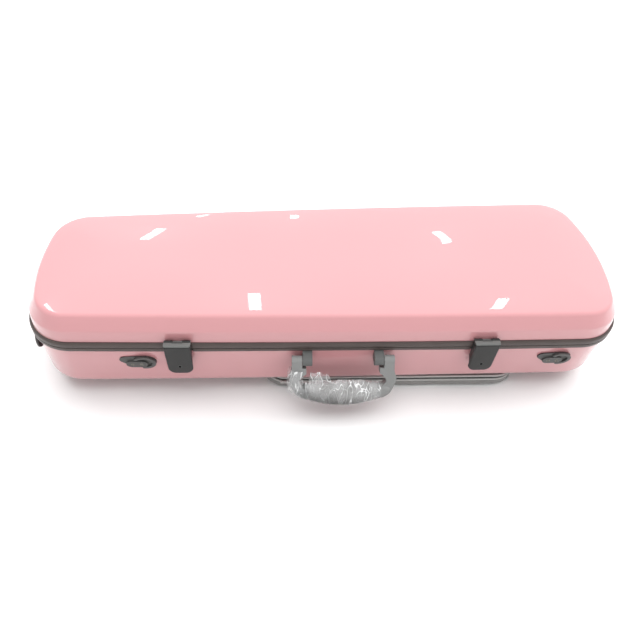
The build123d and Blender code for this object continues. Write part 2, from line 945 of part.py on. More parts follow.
def leaf_screw_seats(s, upper):
    """Planes of a leaf's two screws, square to its wall part."""
    edge, far = leaf_lines(s, upper)[2:]
    rise = far[1] - edge[1]
    lean = (far[0] - edge[0]) / rise
    height = edge[1] + leaf_screw_share * rise
    out = edge[0] + lean * (height - edge[1]) + hinge_leaf
    seats = []
    for across in (-hinge_screw_spacing / 2, hinge_screw_spacing / 2):
        section = hinge_plane(s + across)
        seats.append(
            Plane(
                origin=section.from_local_coords((out, height, 0)),
                x_dir=section.z_dir,
                z_dir=section.x_dir - Vector(0, 0, lean),
            )
        )
    return seats


for half, upper in {"base": False, "lid": True}.items():
    all_seats = []
    for name, s in zip(hinge_names, hinge_places):
        near, edge, wall_edge, far = leaf_lines(s, upper)
        step = hinge_leaf if upper else -hinge_leaf
        lean = (far[0] - wall_edge[0]) / (far[1] - wall_edge[1])
        own = range(1 if upper else 0, hinge_knuckles, 2)
        other = range(0 if upper else 1, hinge_knuckles, 2)
        seats = leaf_screw_seats(s, upper)
        all_seats.extend(seats)
        with BuildPart() as leaf:
            with BuildSketch(hinge_plane(s - hinge_width / 2)):
                Polygon(
                    near, edge, wall_edge, far,
                    (far[0] + hinge_leaf, far[1]),
                    (wall_edge[0] + hinge_leaf + lean * step, wall_edge[1] + step),
                    (edge[0] + hinge_leaf, edge[1] + step),
                    (near[0] + hinge_leaf, near[1]),
                    align=None,
                )
            extrude(amount=hinge_width)
            for index in own:
                start = index * knuckle + knuckle_gap / 2
                add(hinge_bar(s, hinge_barrel, start, knuckle - knuckle_gap))
                with BuildSketch(hinge_plane(s - hinge_width / 2 + start)):
                    with Locations((near[0], hinge_z)):
                        Rectangle(
                            hinge_stand - near[0], hinge_barrel,
                            align=(Align.MIN, Align.MIN if upper else Align.MAX),
                        )
                extrude(amount=knuckle - knuckle_gap)
            for index in other:
                start = index * knuckle - knuckle_gap / 2
                add(hinge_bar(s, hinge_barrel + knuckle_gap, start, knuckle + knuckle_gap), mode=Mode.SUBTRACT)
            bore = hinge_pin_radius + (running_clearance if upper else screw_fit)
            add(hinge_bar(s, bore, -overrun, hinge_width + 2 * overrun), mode=Mode.SUBTRACT)
            for seat in seats:
                with BuildSketch(seat):
                    Circle(screw_radius + screw_fit)
                extrude(amount=hinge_leaf * 2, both=True, mode=Mode.SUBTRACT)
        finish(leaf, f"hinge_leaf_{half}_{name}")
    finish(screws(all_seats, hinge_leaf + leaf_gap + screw_length), f"hinge_screws_{half}")

for name, s in zip(hinge_names, hinge_places):
    with BuildPart() as hinge_pin:
        add(hinge_bar(s, hinge_pin_radius, -hinge_leaf / 2, hinge_width + hinge_leaf))
    finish(hinge_pin, f"hinge_pin_{name}")

# Latches: a hollow lever on a pin through the lid's bracket, over a keeper on the base wall

pivot_z = band_z + latch_pivot_rise
latch_foot_z = band_z - latch_foot_drop
plate_back = latch_belly_out - latch_thickness
catch_low = band_z - catch_drop
lip_low = catch_low + catch_height + keeper_clear
latch_outline = [
    (latch_pivot_out, pivot_z + latch_barrel),
    (latch_front_out, band_z + latch_front_rise),
    (latch_belly_out, band_z - latch_hole_drop),
    (latch_belly_out - leaf_gap, latch_foot_z),
    (plate_back - leaf_gap, latch_foot_z),
    (plate_back, band_z - cheek_bottom),
    (lug_radius, band_z - cheek_knee),
    (-cheek_back, band_z - keeper_height),
    (-cheek_back, band_z + base_band_height - latch_clear),
    (keeper_clear, band_z + base_band_height - latch_clear),
    (keeper_clear, band_top_z + leaf_gap),
]
latch_hollow = [
    (plate_back, pivot_z - latch_barrel - latch_clear),
    (plate_back, band_z - latch_hole_drop),
    (plate_back - leaf_gap, latch_foot_z - overrun),
    (-2 * overrun, latch_foot_z - overrun),
    (-2 * overrun, pivot_z - latch_barrel - latch_clear),
]


def latch_form(x, points, trim):
    """Side outline of the lever, cut to its tapered front outline less a trim on both sides."""
    with BuildPart() as form:
        with BuildSketch(side_plane(x)):
            Polygon(*points, align=None)
        extrude(amount=latch_top_width, both=True)
        with BuildSketch(front_plane(x, 0)):
            with BuildLine():
                Polyline(
                    (trim - latch_top_width / 2, pivot_z + latch_barrel),
                    (trim - latch_foot_width / 2, latch_foot_z),
                    (latch_foot_width / 2 - trim, latch_foot_z),
                    (latch_top_width / 2 - trim, pivot_z + latch_barrel),
                    close=True,
                )
            front = make_face()
            fillet(front.vertices().group_by(Axis.Y)[0], latch_foot_round - trim)
        extrude(amount=latch_top_width, both=True, mode=Mode.INTERSECT)
    return form.part


for name, x in latch_places.items():
    section = side_plane(x)
    pivot = (latch_pivot_out, pivot_z)
    with BuildPart() as latch:
        add(latch_form(x, eased(latch_outline, {1: latch_thickness / 2}, 2), 0))
        with BuildSketch(section):
            with Locations(pivot):
                Circle(latch_barrel)
        extrude(amount=latch_top_width / 2 - latch_clear, both=True)
        add(latch_form(x, latch_hollow, latch_cheek), mode=Mode.SUBTRACT)
        with BuildSketch(section):
            with Locations((-keeper_clear, catch_low)):
                Rectangle(plate_back + 2 * keeper_clear, catch_height, align=Align.MIN)
        extrude(amount=keeper_width / 2, both=True)
        with BuildSketch(section):
            with Locations(pivot):
                Circle(lug_radius + knuckle_gap)
                Rectangle(
                    2 * (lug_radius + knuckle_gap), 2 * latch_barrel, align=(Align.CENTER, Align.MAX)
                )
            with Locations((latch_pivot_out + lug_slot, pivot_z - latch_barrel - overrun)):
                Rectangle(latch_recess + latch_front_out, 2 * (latch_barrel + overrun), align=(Align.MAX, Align.MIN))
        extrude(amount=lug_width / 2 + knuckle_gap, both=True, mode=Mode.SUBTRACT)
        with BuildSketch(section):
            with Locations(pivot):
                Circle(latch_pin_radius + running_clearance)
        extrude(amount=latch_top_width, both=True, mode=Mode.SUBTRACT)
        with BuildSketch(front_plane(x, band_z - latch_hole_drop)):
            Circle(latch_hole)
        extrude(amount=2 * latch_belly_out, mode=Mode.SUBTRACT)
    finish(latch, f"latch_{name}")

    with BuildPart() as latch_pin:
        with BuildSketch(section):
            with Locations(pivot):
                Circle(latch_pin_radius)
        extrude(amount=latch_top_width / 2 - latch_cheek, both=True)
    finish(latch_pin, f"latch_pin_{name}")

    foot = band_top_z + 2 * leaf_gap
    head = pivot_z + lug_radius
    wall_out = leaf_gap - lid_inset_at(foot)
    with BuildPart() as bracket:
        with BuildSketch(section):
            with Locations(pivot):
                Circle(lug_radius)
            with Locations((wall_out, foot)):
                Rectangle(bracket_plate, lug_radius, align=Align.MIN)
            make_hull()
            Polygon(
                (wall_out, foot), (wall_out + bracket_plate, foot),
                (leaf_gap - lid_inset_at(head) + bracket_plate, head), (leaf_gap - lid_inset_at(head), head),
                align=None,
            )
        extrude(amount=lug_width / 2, both=True)
        with BuildSketch(section):
            with Locations(pivot):
                Circle(latch_pin_radius + screw_fit)
        extrude(amount=lug_width, both=True, mode=Mode.SUBTRACT)
    finish(bracket, f"latch_bracket_{name}")

keeper_rivet_seats = []
for name, x in latch_places.items():
    head = band_z - latch_margin
    foot = head - keeper_height
    seat_out = leaf_gap + keeper_plate
    places = (-keeper_rivet_spacing / 2, keeper_rivet_spacing / 2)
    base = front_wall_plane(x, foot + keeper_height / 4).offset(leaf_gap + keeper_plate)
    rivets = [Plane(origin=base.from_local_coords((p, 0, 0)), x_dir=base.x_dir, z_dir=base.z_dir) for p in places]
    keeper_rivet_seats.extend(rivets)
    with BuildPart() as keeper:
        with BuildSketch(side_plane(x)):
            Polygon(
                (leaf_gap - base_inset_at(head), head), (leaf_gap - base_inset_at(foot), foot),
                (seat_out - base_inset_at(foot), foot), (seat_out - base_inset_at(head), head),
                align=None,
            )
            with Locations((-2 * keeper_clear, lip_low)):
                Rectangle(base_inset_at(foot) - seat_out - keeper_clear, keeper_lip, align=(Align.MAX, Align.MIN))
        extrude(amount=keeper_width / 2, both=True)
        for rivet in rivets:
            with BuildSketch(rivet):
                Circle(screw_radius + screw_fit)
            extrude(amount=2 * keeper_plate, both=True, mode=Mode.SUBTRACT)
    finish(keeper, f"latch_keeper_{name}")
finish(screws(keeper_rivet_seats, keeper_plate + leaf_gap + screw_length), "keeper_rivets")

# Handle: two lugs under the front band, a frame that swings on their pins, a belly grip and its film

handle_y = -front_line - handle_pivot_out
handle_z = band_z - handle_pivot_drop
handle_turn = math.radians(handle_angle)
handle_plane = Plane(
    origin=(handle_centre, handle_y, handle_z),
    x_dir=(1, 0, 0),
    z_dir=(0, -math.cos(handle_turn), math.sin(handle_turn)),
)


def pivot_section(x):
    """Cross-section of the handle's turning line, with its x outwards and its y upwards."""
    return Plane(origin=(x, handle_y, handle_z), x_dir=(0, -1, 0), z_dir=(-1, 0, 0))


for name, x in lug_places.items():
    head = band_z - 2 * leaf_gap
    foot = head - handle_lug_height
    shift = handle_pivot_out - leaf_gap * 2
    with BuildPart() as lug:
        with BuildSketch(pivot_section(x)):
            Circle(handle_lug_nose)
            Polygon(
                (-shift - base_inset_at(head) - leaf_gap, head - handle_z),
                (-shift - base_inset_at(foot) - leaf_gap, foot - handle_z),
                (-shift - wall_inset, foot - handle_z),
                (-shift - wall_inset, head - handle_z),
                align=None,
            )
            make_hull()
        extrude(amount=handle_lug_width / 2, both=True)
        with BuildSketch(pivot_section(x)):
            Circle(handle_pin_radius + screw_fit)
        extrude(amount=handle_lug_width, both=True, mode=Mode.SUBTRACT)
    finish(lug, f"handle_lug_{name}")

    outwards = math.copysign(1, x - handle_centre)
    with BuildPart() as pin:
        with BuildSketch(pivot_section(x - outwards * handle_lug_width / 3)):
            Circle(handle_pin_radius)
        extrude(amount=-outwards * (handle_lug_width / 2 + arm_width))
    finish(pin, f"handle_pin_{name}")


def arm_side(side):
    """One arm of the frame, with the hub that turns on the pin."""
    inner = handle_lug_inner + handle_lug_width + handle_gap
    outer = inner + arm_width
    with BuildPart() as form:
        with BuildSketch(handle_plane):
            with BuildLine():
                Line((side * inner, 0), (side * outer, 0))
                Line((side * outer, 0), (side * outer, -arm_neck))
                Spline(
                    (side * outer, -arm_neck),
                    (side * (outer + arm_bulge), -arm_knee),
                    (side * outer, -grip_end_top - arm_edge),
                    (side * grip_shoulder, -grip_end_foot),
                    tangents=((0, -1), (-side, -arm_foot_slope)),
                )
                Line((side * grip_shoulder, -grip_end_foot), (side * grip_shoulder, -grip_end_top))
                Spline(
                    (side * grip_shoulder, -grip_end_top),
                    (side * (inner + arm_bulge), -arm_knee - arm_bulge),
                    (side * (inner - arm_bulge), -arm_knee + arm_lobe),
                    (side * (inner - arm_lobe), -arm_neck),
                    tangents=((side, 1), (0, 1)),
                )
                Line((side * (inner - arm_lobe), -arm_neck), (side * inner, -arm_neck))
                Line((side * inner, -arm_neck), (side * inner, 0))
            make_face()
        extrude(amount=arm_thickness / 2, both=True)
        with BuildSketch(pivot_section(handle_centre + side * inner)):
            Circle(hub_radius)
        extrude(amount=-side * arm_width)
        with BuildSketch(pivot_section(handle_centre + side * (inner - arm_edge))):
            Circle(handle_pin_radius + running_clearance)
        extrude(amount=-side * (arm_width - handle_gap), mode=Mode.SUBTRACT)
    return form.part


def grip_plane(place):
    """Cross-section of the grip, with its x square to the handle and its y away from the pins."""
    return Plane(
        origin=handle_plane.from_local_coords((place, 0, 0)),
        x_dir=handle_plane.z_dir,
        z_dir=handle_plane.x_dir,
    )


core_reach = (grip_end_top + grip_end_foot) / 2


def grip_form(growth):
    """Belly of the grip, grown outwards by an allowance."""
    with BuildPart() as form:
        for share in grip_shares:
            fullness = 1 - share**2
            top = grip_end_top + (grip_top - grip_end_top) * fullness
            foot = grip_end_foot + (handle_reach - grip_end_foot) * fullness
            thickness = grip_end_thickness + (grip_thickness - grip_end_thickness) * fullness
            half_depth_here = (foot - top) / 2 + growth
            half_width_here = thickness / 2 + growth
            rim = [
                (
                    half_width_here * math.cos(math.tau * side / grip_sides),
                    (top + foot) / 2 + half_depth_here * math.sin(math.tau * side / grip_sides),
                )
                for side in range(grip_sides)
            ]
            with BuildSketch(grip_plane(share * grip_half_length)):
                Polygon(*rim, align=None)
        loft(ruled=True)
    return form.part


with BuildPart() as handle_frame:
    add(arm_side(-1))
    add(arm_side(1))
    with BuildSketch(grip_plane(-grip_shoulder - arm_edge)):
        with Locations((0, core_reach)):
            Circle(grip_core)
    extrude(amount=2 * (grip_shoulder + arm_edge))
finish(handle_frame, "handle_frame")

with BuildPart() as handle_grip:
    add(grip_form(0))
    with BuildSketch(grip_plane(-2 * grip_half_length)):
        with Locations((0, core_reach)):
            Circle(grip_core + screw_fit)
    extrude(amount=4 * grip_half_length, mode=Mode.SUBTRACT)
finish(handle_grip, "handle_grip")

with BuildPart() as grip_film:
    add(grip_form(film_gap + film_thickness))
    add(grip_form(film_gap), mode=Mode.SUBTRACT)
finish(grip_film, "grip_film")

# Rubber feet on the back wall, for standing the case upright

with BuildPart() as spine_feet:
    for x in (-foot_spread, foot_spread):
        for height in (foot_low, foot_high):
            with BuildSketch(back_wall_plane(x, height).offset(leaf_gap)):
                Circle(foot_radius)
            extrude(amount=foot_height, taper=foot_draft)
finish(spine_feet, "spine_feet")

# Pocket under the base: a soft body with two rows of piping and a zip between them

pocket_middle = pocket_front_inset + pocket_width / 2 - front_line
pocket_front = pocket_front_inset - front_line
groove_inset = 2 * piping_radius + slider_gap / 2
pocket_points = [
    (groove_inset + 4 * piping_radius, 0),
    (groove_inset + piping_radius, piping_radius),
    (piping_radius + slider_gap, 3 * piping_radius),
    (piping_radius, piping_low - piping_radius - slider_gap),
    (groove_inset, piping_low - piping_radius),
    (groove_inset, pocket_depth - lining_gap),
]


def pocket_outline(inset):
    """Rounded rectangle of the pocket, drawn in from its outermost line."""
    with BuildSketch() as outline:
        with Locations((pocket_centre, pocket_middle)):
            RectangleRounded(pocket_length - 2 * inset, pocket_width - 2 * inset, pocket_radius - inset)
    return outline.sketch


def pocket_ring(outer, inner, low, high):
    """Strip round the pocket between two insets and two heights."""
    with BuildPart() as form:
        with BuildSketch(Plane.XY.offset(low)):
            add(pocket_outline(outer))
            add(pocket_outline(inner), mode=Mode.SUBTRACT)
        extrude(amount=high - low)
    return form.part


with BuildPart() as pocket_body:
    for inset, height in pocket_points:
        with BuildSketch(Plane.XY.offset(height)):
            add(pocket_outline(inset))
    loft(ruled=True)
finish(pocket_body, "pocket_body")

for name, height in {"lower": piping_low, "upper": piping_high}.items():
    with BuildPart() as piping:
        with BuildSketch(Plane(
            origin=(pocket_centre, pocket_front + piping_radius, height), x_dir=(0, 1, 0), z_dir=(1, 0, 0)
        )):
            RegularPolygon(piping_radius, piping_sides)
        path = pocket_outline(piping_radius).wire().moved(Location((0, 0, height)))
        sweep(path=path)
    finish(piping, f"piping_{name}")

zip_z = (piping_low + piping_high) / 2
zip_back = pocket_middle + pocket_width / 2 - pocket_radius

with BuildPart() as zip_tape:
    add(pocket_ring(groove_inset - zip_thickness, groove_inset, zip_z - zip_height / 2, zip_z + zip_height / 2))
    with Locations((pocket_centre, zip_back, zip_z)):
        Box(pocket_length, pocket_width, pocket_depth,
            align=(Align.CENTER, Align.MIN, Align.CENTER), mode=Mode.SUBTRACT)
finish(zip_tape, "zip_tape")

with BuildPart() as zip_teeth:
    add(
        pocket_ring(groove_inset - zip_thickness - zip_chain, groove_inset - zip_thickness,
                    zip_z - zip_chain, zip_z + zip_chain)
    )
    with Locations((pocket_centre, zip_back, zip_z)):
        Box(pocket_length, pocket_width, pocket_depth,
            align=(Align.CENTER, Align.MIN, Align.CENTER), mode=Mode.SUBTRACT)
finish(zip_teeth, "zip_teeth")

slider_back = pocket_front + groove_inset - zip_thickness - zip_chain - slider_gap
pin_line = slider_back - slider_depth - slider_ear_reach / 2


def slider_plane(x, height):
    """Level plane at the slider, with its y towards the front."""
    return Plane(origin=(x, slider_back, height), x_dir=(1, 0, 0), z_dir=(0, 0, 1))


with BuildPart() as zip_slider:
    with BuildSketch(Plane(origin=(slider_place, slider_back, zip_z), x_dir=(1, 0, 0), z_dir=(0, -1, 0))):
        RectangleRounded(slider_length, slider_height, slider_ear)
    extrude(amount=slider_depth)
    with BuildSketch(slider_plane(slider_place, zip_z - slider_height / 2)):
        with Locations((0, -slider_depth)):
            SlotCenterToCenter(slider_ear_reach, 2 * slider_ear_round, rotation=90)
    extrude(amount=slider_height)
    with BuildSketch(slider_plane(slider_place, zip_z - slider_height / 2 + slider_ear)):
        with Locations((0, -slider_depth)):
            Rectangle(4 * slider_ear_round, 4 * slider_ear_reach, align=(Align.CENTER, Align.MAX))
    extrude(amount=slider_height - 2 * slider_ear, mode=Mode.SUBTRACT)
    with BuildSketch(slider_plane(slider_place, zip_z - slider_height / 2)):
        with Locations((0, pin_line - slider_back)):
            Circle(pull_pin)
    extrude(amount=slider_height)
finish(zip_slider, "zip_slider")

pull_eye_height = slider_height - 2 * slider_ear - 2 * slider_gap
with BuildPart() as zip_pull:
    with BuildSketch(Plane(origin=(slider_place, pin_line, zip_z), x_dir=(1, 0, 0), z_dir=(0, -1, 0))):
        with Locations((-slider_length, 0)):
            Rectangle(slider_length, pull_eye_height, align=(Align.MIN, Align.CENTER))
        with Locations((-pull_length, 0)):
            RectangleRounded(pull_length - pull_width, pull_width, pull_width / 3, align=(Align.MIN, Align.CENTER))
    extrude(amount=pull_thickness / 2, both=True)
    with BuildSketch(slider_plane(slider_place, zip_z - pull_eye_height / 2)):
        with Locations((0, pin_line - slider_back)):
            Circle(pull_eye + running_clearance)
    extrude(amount=pull_eye_height)
    with BuildSketch(slider_plane(slider_place, zip_z - slider_height)):
        with Locations((0, pin_line - slider_back)):
            Circle(pull_pin + running_clearance)
    extrude(amount=2 * slider_height, mode=Mode.SUBTRACT)
finish(zip_pull, "zip_pull")

# The two moulded shells, with the holes of the screws that end in their walls

with BuildPart() as drilled_base:
    add(base_shell.part)
    add(shell_holes, mode=Mode.SUBTRACT)
finish(drilled_base, "base_shell")

with BuildPart() as drilled_lid:
    add(lid_shell.part)
    add(shell_holes, mode=Mode.SUBTRACT)
finish(drilled_lid, "lid_shell")
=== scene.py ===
import json
import math
from math import cos, sin

import bmesh
import bpy
from mathutils import Matrix, Quaternion, Vector, geometry, noise


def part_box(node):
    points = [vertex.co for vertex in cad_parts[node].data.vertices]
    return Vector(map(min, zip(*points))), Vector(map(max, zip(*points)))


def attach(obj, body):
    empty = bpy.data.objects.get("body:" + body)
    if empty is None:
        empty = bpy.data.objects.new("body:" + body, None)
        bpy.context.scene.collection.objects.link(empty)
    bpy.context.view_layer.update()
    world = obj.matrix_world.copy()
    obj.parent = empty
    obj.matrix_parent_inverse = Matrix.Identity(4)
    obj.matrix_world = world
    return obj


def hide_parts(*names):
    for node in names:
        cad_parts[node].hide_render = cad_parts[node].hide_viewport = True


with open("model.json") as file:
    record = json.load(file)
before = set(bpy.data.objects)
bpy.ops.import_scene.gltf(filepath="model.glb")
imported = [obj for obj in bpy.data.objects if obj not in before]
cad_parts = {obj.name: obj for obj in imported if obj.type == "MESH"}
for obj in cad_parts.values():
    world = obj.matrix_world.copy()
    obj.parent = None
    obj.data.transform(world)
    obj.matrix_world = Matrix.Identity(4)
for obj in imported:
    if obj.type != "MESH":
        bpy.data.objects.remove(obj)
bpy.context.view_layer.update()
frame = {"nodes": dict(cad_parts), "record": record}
nodes = frame["nodes"]
behaviour = frame["record"]["behaviour"]
body_of_node = {node: body for body, members in behaviour["bodies"].items() for node in members}
hinges = {joint["name"]: joint for joint in behaviour["joints"]}
MM = 0.001
BMVert = bmesh.types.BMVert
BMEdge = bmesh.types.BMEdge
scene = bpy.context.scene

# Sizes of the case, in millimetres, as in the part's source

HALF_LENGTH = 400.0
MID_HALF_DEPTH = 124.75
HALF_TAPER = 11.75
TAPER = math.atan2(HALF_TAPER, HALF_LENGTH)
END_BOW = 24.0
SIDE_BOW = 3.8
CORNER = 62.0
FRONT_LINE = MID_HALF_DEPTH * cos(TAPER)
END_RADIUS = (MID_HALF_DEPTH**2 + END_BOW**2) / (2 * END_BOW)
BASE_Z = 22.0
WALL_TOP_Z = 125.0
SHOULDER_Z = 143.0
CROWN = 8.0
CROWN_REACH = 100.0
SHOULDER_INSET = 17.0
LID_WALL = 3.5
BASE_WALL = 4.0
POCKET_CENTRE = 88.5
POCKET_LENGTH = 363.0
POCKET_WIDTH = 205.0
POCKET_FRONT = 10.0 - FRONT_LINE
POCKET_RADIUS = 32.0
PIPING = 1.6
ZIP_Z = 16.15


# Shader expressions


class Wire:
    """An output of a shader node that takes part in sums."""

    def __init__(self, finish, socket):
        self.finish = finish
        self.socket = socket

    def maths(self, operation, *values):
        return self.finish.node("ShaderNodeMath", {"operation": operation}, list(values))

    def through(self, function):
        """A function of this wire alone, such as SINE."""
        return self.maths(function, self)

    def __add__(self, other):
        return self.maths("ADD", self, other)

    def __mul__(self, other):
        return self.maths("MULTIPLY", self, other)

    def __sub__(self, other):
        return self.maths("SUBTRACT", self, other)

    def __rsub__(self, other):
        return self.maths("SUBTRACT", other, self)

    def clamped(self):
        self.socket.node.use_clamp = True
        return self


class NodeTree:
    """A tree of shader nodes that expressions are added to."""

    def __init__(self, tree):
        self.tree = tree

    def node(self, kind, settings=None, inputs=(), output=0):
        """Add a node: its settings first, then the values or wires of its sockets."""
        made = self.tree.nodes.new(kind)
        for key, value in (settings or {}).items():
            setattr(made, key, value)
        for key, value in inputs.items() if isinstance(inputs, dict) else enumerate(inputs):
            self.join(value, made.inputs[key])
        return Wire(self, made.outputs[output])

    def join(self, value, socket):
        """Give a socket a wire or a plain value."""
        if isinstance(value, Wire):
            self.tree.links.new(value.socket, socket)
        else:
            socket.default_value = value

    def axis(self, which, vector):
        return self.node("ShaderNodeSeparateXYZ", inputs=[vector], output=which)

    def ramp(self, factor, low, high):
        """Stretch a factor so that low becomes 0 and high becomes 1."""
        return self.node(
            "ShaderNodeMapRange", {"clamp": True}, {"Value": factor, "From Min": low, "From Max": high}
        )

    def seen_by(self, *rays):
        """1 for the named kinds of ray, else 0."""
        total = self.node("ShaderNodeLightPath", output=f"Is {rays[0]} Ray")
        for kind in rays[1:]:
            total = total + self.node("ShaderNodeLightPath", output=f"Is {kind} Ray")
        return total.clamped()


class Finish(NodeTree):
    """A procedural material with one Principled shader, which keeps the name of a slot of the record."""

    def __init__(self, slot, name, **constants):
        self.slot = slot
        self.material = bpy.data.materials.new(name)
        self.material.use_nodes = True
        super().__init__(self.material.node_tree)
        self.shader = self.tree.nodes["Principled BSDF"]
        for socket, value in constants.items():
            self.shader.inputs[socket.replace("_", " ")].default_value = value

    def place(self):
        return self.node("ShaderNodeTexCoord", output="Object")

    def mapped(self, scale, rotation=(0.0, 0.0, 0.0)):
        """Object coordinates, turned and stretched."""
        inputs = {"Vector": self.place(), "Rotation": rotation, "Scale": scale}
        return self.node("ShaderNodeMapping", inputs=inputs)

    def grain(self, scale, detail=2.0, rough=0.5, vector=None):
        """Cloudy noise, about 0.5, with `scale` swells to the metre."""
        inputs = {"Vector": vector or self.place(), "Scale": scale, "Detail": detail, "Roughness": rough}
        return self.node("ShaderNodeTexNoise", inputs=inputs)

    def cells(self, scale):
        inputs = {"Vector": self.place(), "Scale": scale}
        return self.node("ShaderNodeTexVoronoi", inputs=inputs, output="Distance")

    def tint(self, factor, first, second):
        """Mix two colours by a factor."""
        made = self.tree.nodes.new("ShaderNodeMix")
        made.data_type = "RGBA"
        factor_in, first_in, second_in = (made.inputs[i] for i in (0, 6, 7))
        self.join(factor, factor_in)
        self.join((*first, 1.0), first_in)
        self.join((*second, 1.0), second_in)
        return Wire(self, made.outputs[2])

    def feed(self, socket, wire):
        self.join(wire, self.shader.inputs[socket])

    def bump(self, height, distance, strength):
        """Relief in metres from a 0..1 height."""
        inputs = {"Height": height, "Distance": distance, "Strength": strength}
        self.feed("Normal", self.node("ShaderNodeBump", inputs=inputs))

    def dressed(self, shade, dark, light, rough, *relief):
        """Colour between dark and light by a shade, roughness, and relief as for a bump."""
        self.feed("Base Color", self.tint(shade, dark, light))
        self.feed("Roughness", rough)
        self.bump(*relief)
        return self


# Finishes


def shell_finish():
    f = Finish("shell", "pink_gloss", IOR=1.45, Coat_Weight=1.0, Coat_Roughness=0.02)
    dark, light = (0.632, 0.290, 0.306), (0.652, 0.304, 0.320)
    rough = f.grain(90.0, 3.0) * 0.10 + 0.27
    return f.dressed(f.grain(3.0), dark, light, rough, f.grain(260.0, 2.0, 0.4), 0.00002, 0.5)


def band_finish():
    f = Finish("band", "band_brown", IOR=1.5, Specular_IOR_Level=0.35)
    dark, light = (0.064, 0.048, 0.044), (0.090, 0.070, 0.064)
    rough = f.grain(300.0, 3.0) * 0.22 + 0.27
    return f.dressed(f.grain(40.0, 3.0), dark, light, rough, f.grain(1600.0), 0.00002, 0.6)


def rubber_finish(slot, name, colour, scale=1400.0):
    f = Finish(slot, name)
    fine = f.grain(scale, 3.0)
    light = [c * 1.35 for c in colour]
    return f.dressed(fine, colour, light, fine * 0.25 + 0.5, fine, 0.00004, 0.7)


def velvet_finish(slot, name, dark, light):
    f = Finish(slot, name, Sheen_Weight=0.55, Sheen_Roughness=0.35)
    f.feed("Sheen Tint", (*light, 1.0))
    nap = f.grain(28.0, 4.0, 0.6)
    pile = f.grain(1500.0)
    shade = (nap * 0.75 + pile * 0.35).clamped()
    return f.dressed(shade, dark, light, 0.9, pile + nap * 0.6, 0.00025, 0.8)


def metal_finish(slot, name, colour, stretch, rough):
    """Metal brushed along the axis with the least stretch, and smudged."""
    f = Finish(slot, name, Metallic=1.0)
    brush = f.grain(1.0, 3.0, 0.6, f.mapped(stretch))
    smudge = f.grain(35.0)
    light = [c * 1.12 for c in colour]
    rough = brush * 0.18 + smudge * 0.10 + (rough - 0.12)
    return f.dressed(smudge, colour, light, rough, brush, 0.00001, 0.5)


def plastic_finish(slot, name, colour, rough, gloss=0.5):
    f = Finish(slot, name, IOR=1.5, Specular_IOR_Level=gloss)
    fine = f.grain(1800.0)
    light = [c * 1.16 for c in colour]
    rough = fine * 0.20 + (rough - 0.08)
    return f.dressed(f.grain(18.0, 3.0), colour, light, rough, fine, 0.00003, 0.6)


def grip_finish():
    """Moulded grip with a fine leather-like pebble, and painted shade: paler on its upper side and darker
    towards its underside, by height.
    """
    f = Finish("grip_rubber", "grip_pebble")
    pebble = f.cells(900.0)
    height = f.axis("Z", f.place()) + f.axis("X", f.place()) * 0.14 + f.grain(55.0) * 0.006
    # Painted shade: the colour darkens towards the underside by height, broken by the pebble.
    painted_shade_and_pebble = (f.ramp(height, 0.041, 0.053) - pebble * 0.25).clamped()
    dark, light = (0.055, 0.054, 0.053), (0.300, 0.298, 0.294)
    return f.dressed(painted_shade_and_pebble, dark, light, f.grain(2400.0) * 0.2 + 0.4, pebble, 0.00018, 0.8)


def film_finish():
    """Clear wrap, more opaque and whiter on its upper side as painted light, and white along its creases
    as painted highlights.
    """
    f = Finish("film", "clear_wrap", Roughness=0.10, IOR=1.46, Coat_Weight=0.7, Coat_Roughness=0.03)
    f.feed("Base Color", (0.90, 0.905, 0.91, 1.0))
    swell = f.grain(60.0, 3.0, 0.55, f.mapped((1.0, 0.5, 0.8), (0.3, 0.2, 0.5)))

    def painted_glint_streaks(turned, scale, width):
        """Painted highlights: thin bright lines that run mostly one way."""
        along = f.mapped((1.0, 0.6, 0.20), (0.25, math.radians(turned), 0.1))
        away = (f.grain(scale, 0.0, 0.5, along) - 0.5).through("ABSOLUTE")
        patch = f.ramp(f.grain(scale * 0.7, 1.0, 0.5, along), 0.45, 0.53)
        return (1.0 - f.ramp(away, 0.0, width)) * patch

    crossing_glints = painted_glint_streaks(34.0, 105.0, 0.030) + painted_glint_streaks(-46.0, 125.0, 0.030)
    painted_crease_glints = (crossing_glints + painted_glint_streaks(4.0, 160.0, 0.020) * 0.7).clamped()
    height = f.axis("Z", f.place()) + f.axis("X", f.place()) * 0.12 + swell * 0.010
    # Painted light: the wrap is whiter and more opaque towards its upper side, by height, so its
    # underside reads darker.
    painted_upper_light = f.ramp(height, 0.044, 0.058)
    veil = f.ramp(swell, 0.36, 0.70) * (painted_upper_light * 0.26 + 0.05)
    # Alpha: painted highlights along the creases and painted light on top, over a faint haze.
    f.feed("Alpha", (painted_crease_glints * (painted_upper_light * 0.50 + 0.45) + veil + 0.04).clamped())
    f.bump(swell + painted_crease_glints * 0.5, 0.0016, 0.9)
    f.material.blend_method = "HASHED"
    return f


WEAVE_MAP = "weave"


def woven_finish(slot, name, dark, light, pitch):
    """Plain weave of a pitch in millimetres, which follows the piece's own map in metres."""
    f = Finish(slot, name, Sheen_Weight=0.15)
    vector = f.node("ShaderNodeUVMap", {"uv_map": WEAVE_MAP})
    turn = math.tau / (pitch * MM)
    warp, weft = ((f.axis(axis, vector) * turn).through("SINE") for axis in "XY")
    over = (warp * weft * 0.5 + 0.5).clamped()
    fibre = f.grain(2500.0, vector=vector)
    mottle = f.grain(22.0, 3.0, vector=vector)
    shade = (over * 0.5 + fibre * 0.3 + mottle * 0.2).clamped()
    return f.dressed(shade, dark, light, fibre * 0.2 + 0.68, over + fibre * 0.3, 0.00022, 0.8)


def grey(level):
    return (level,) * 3


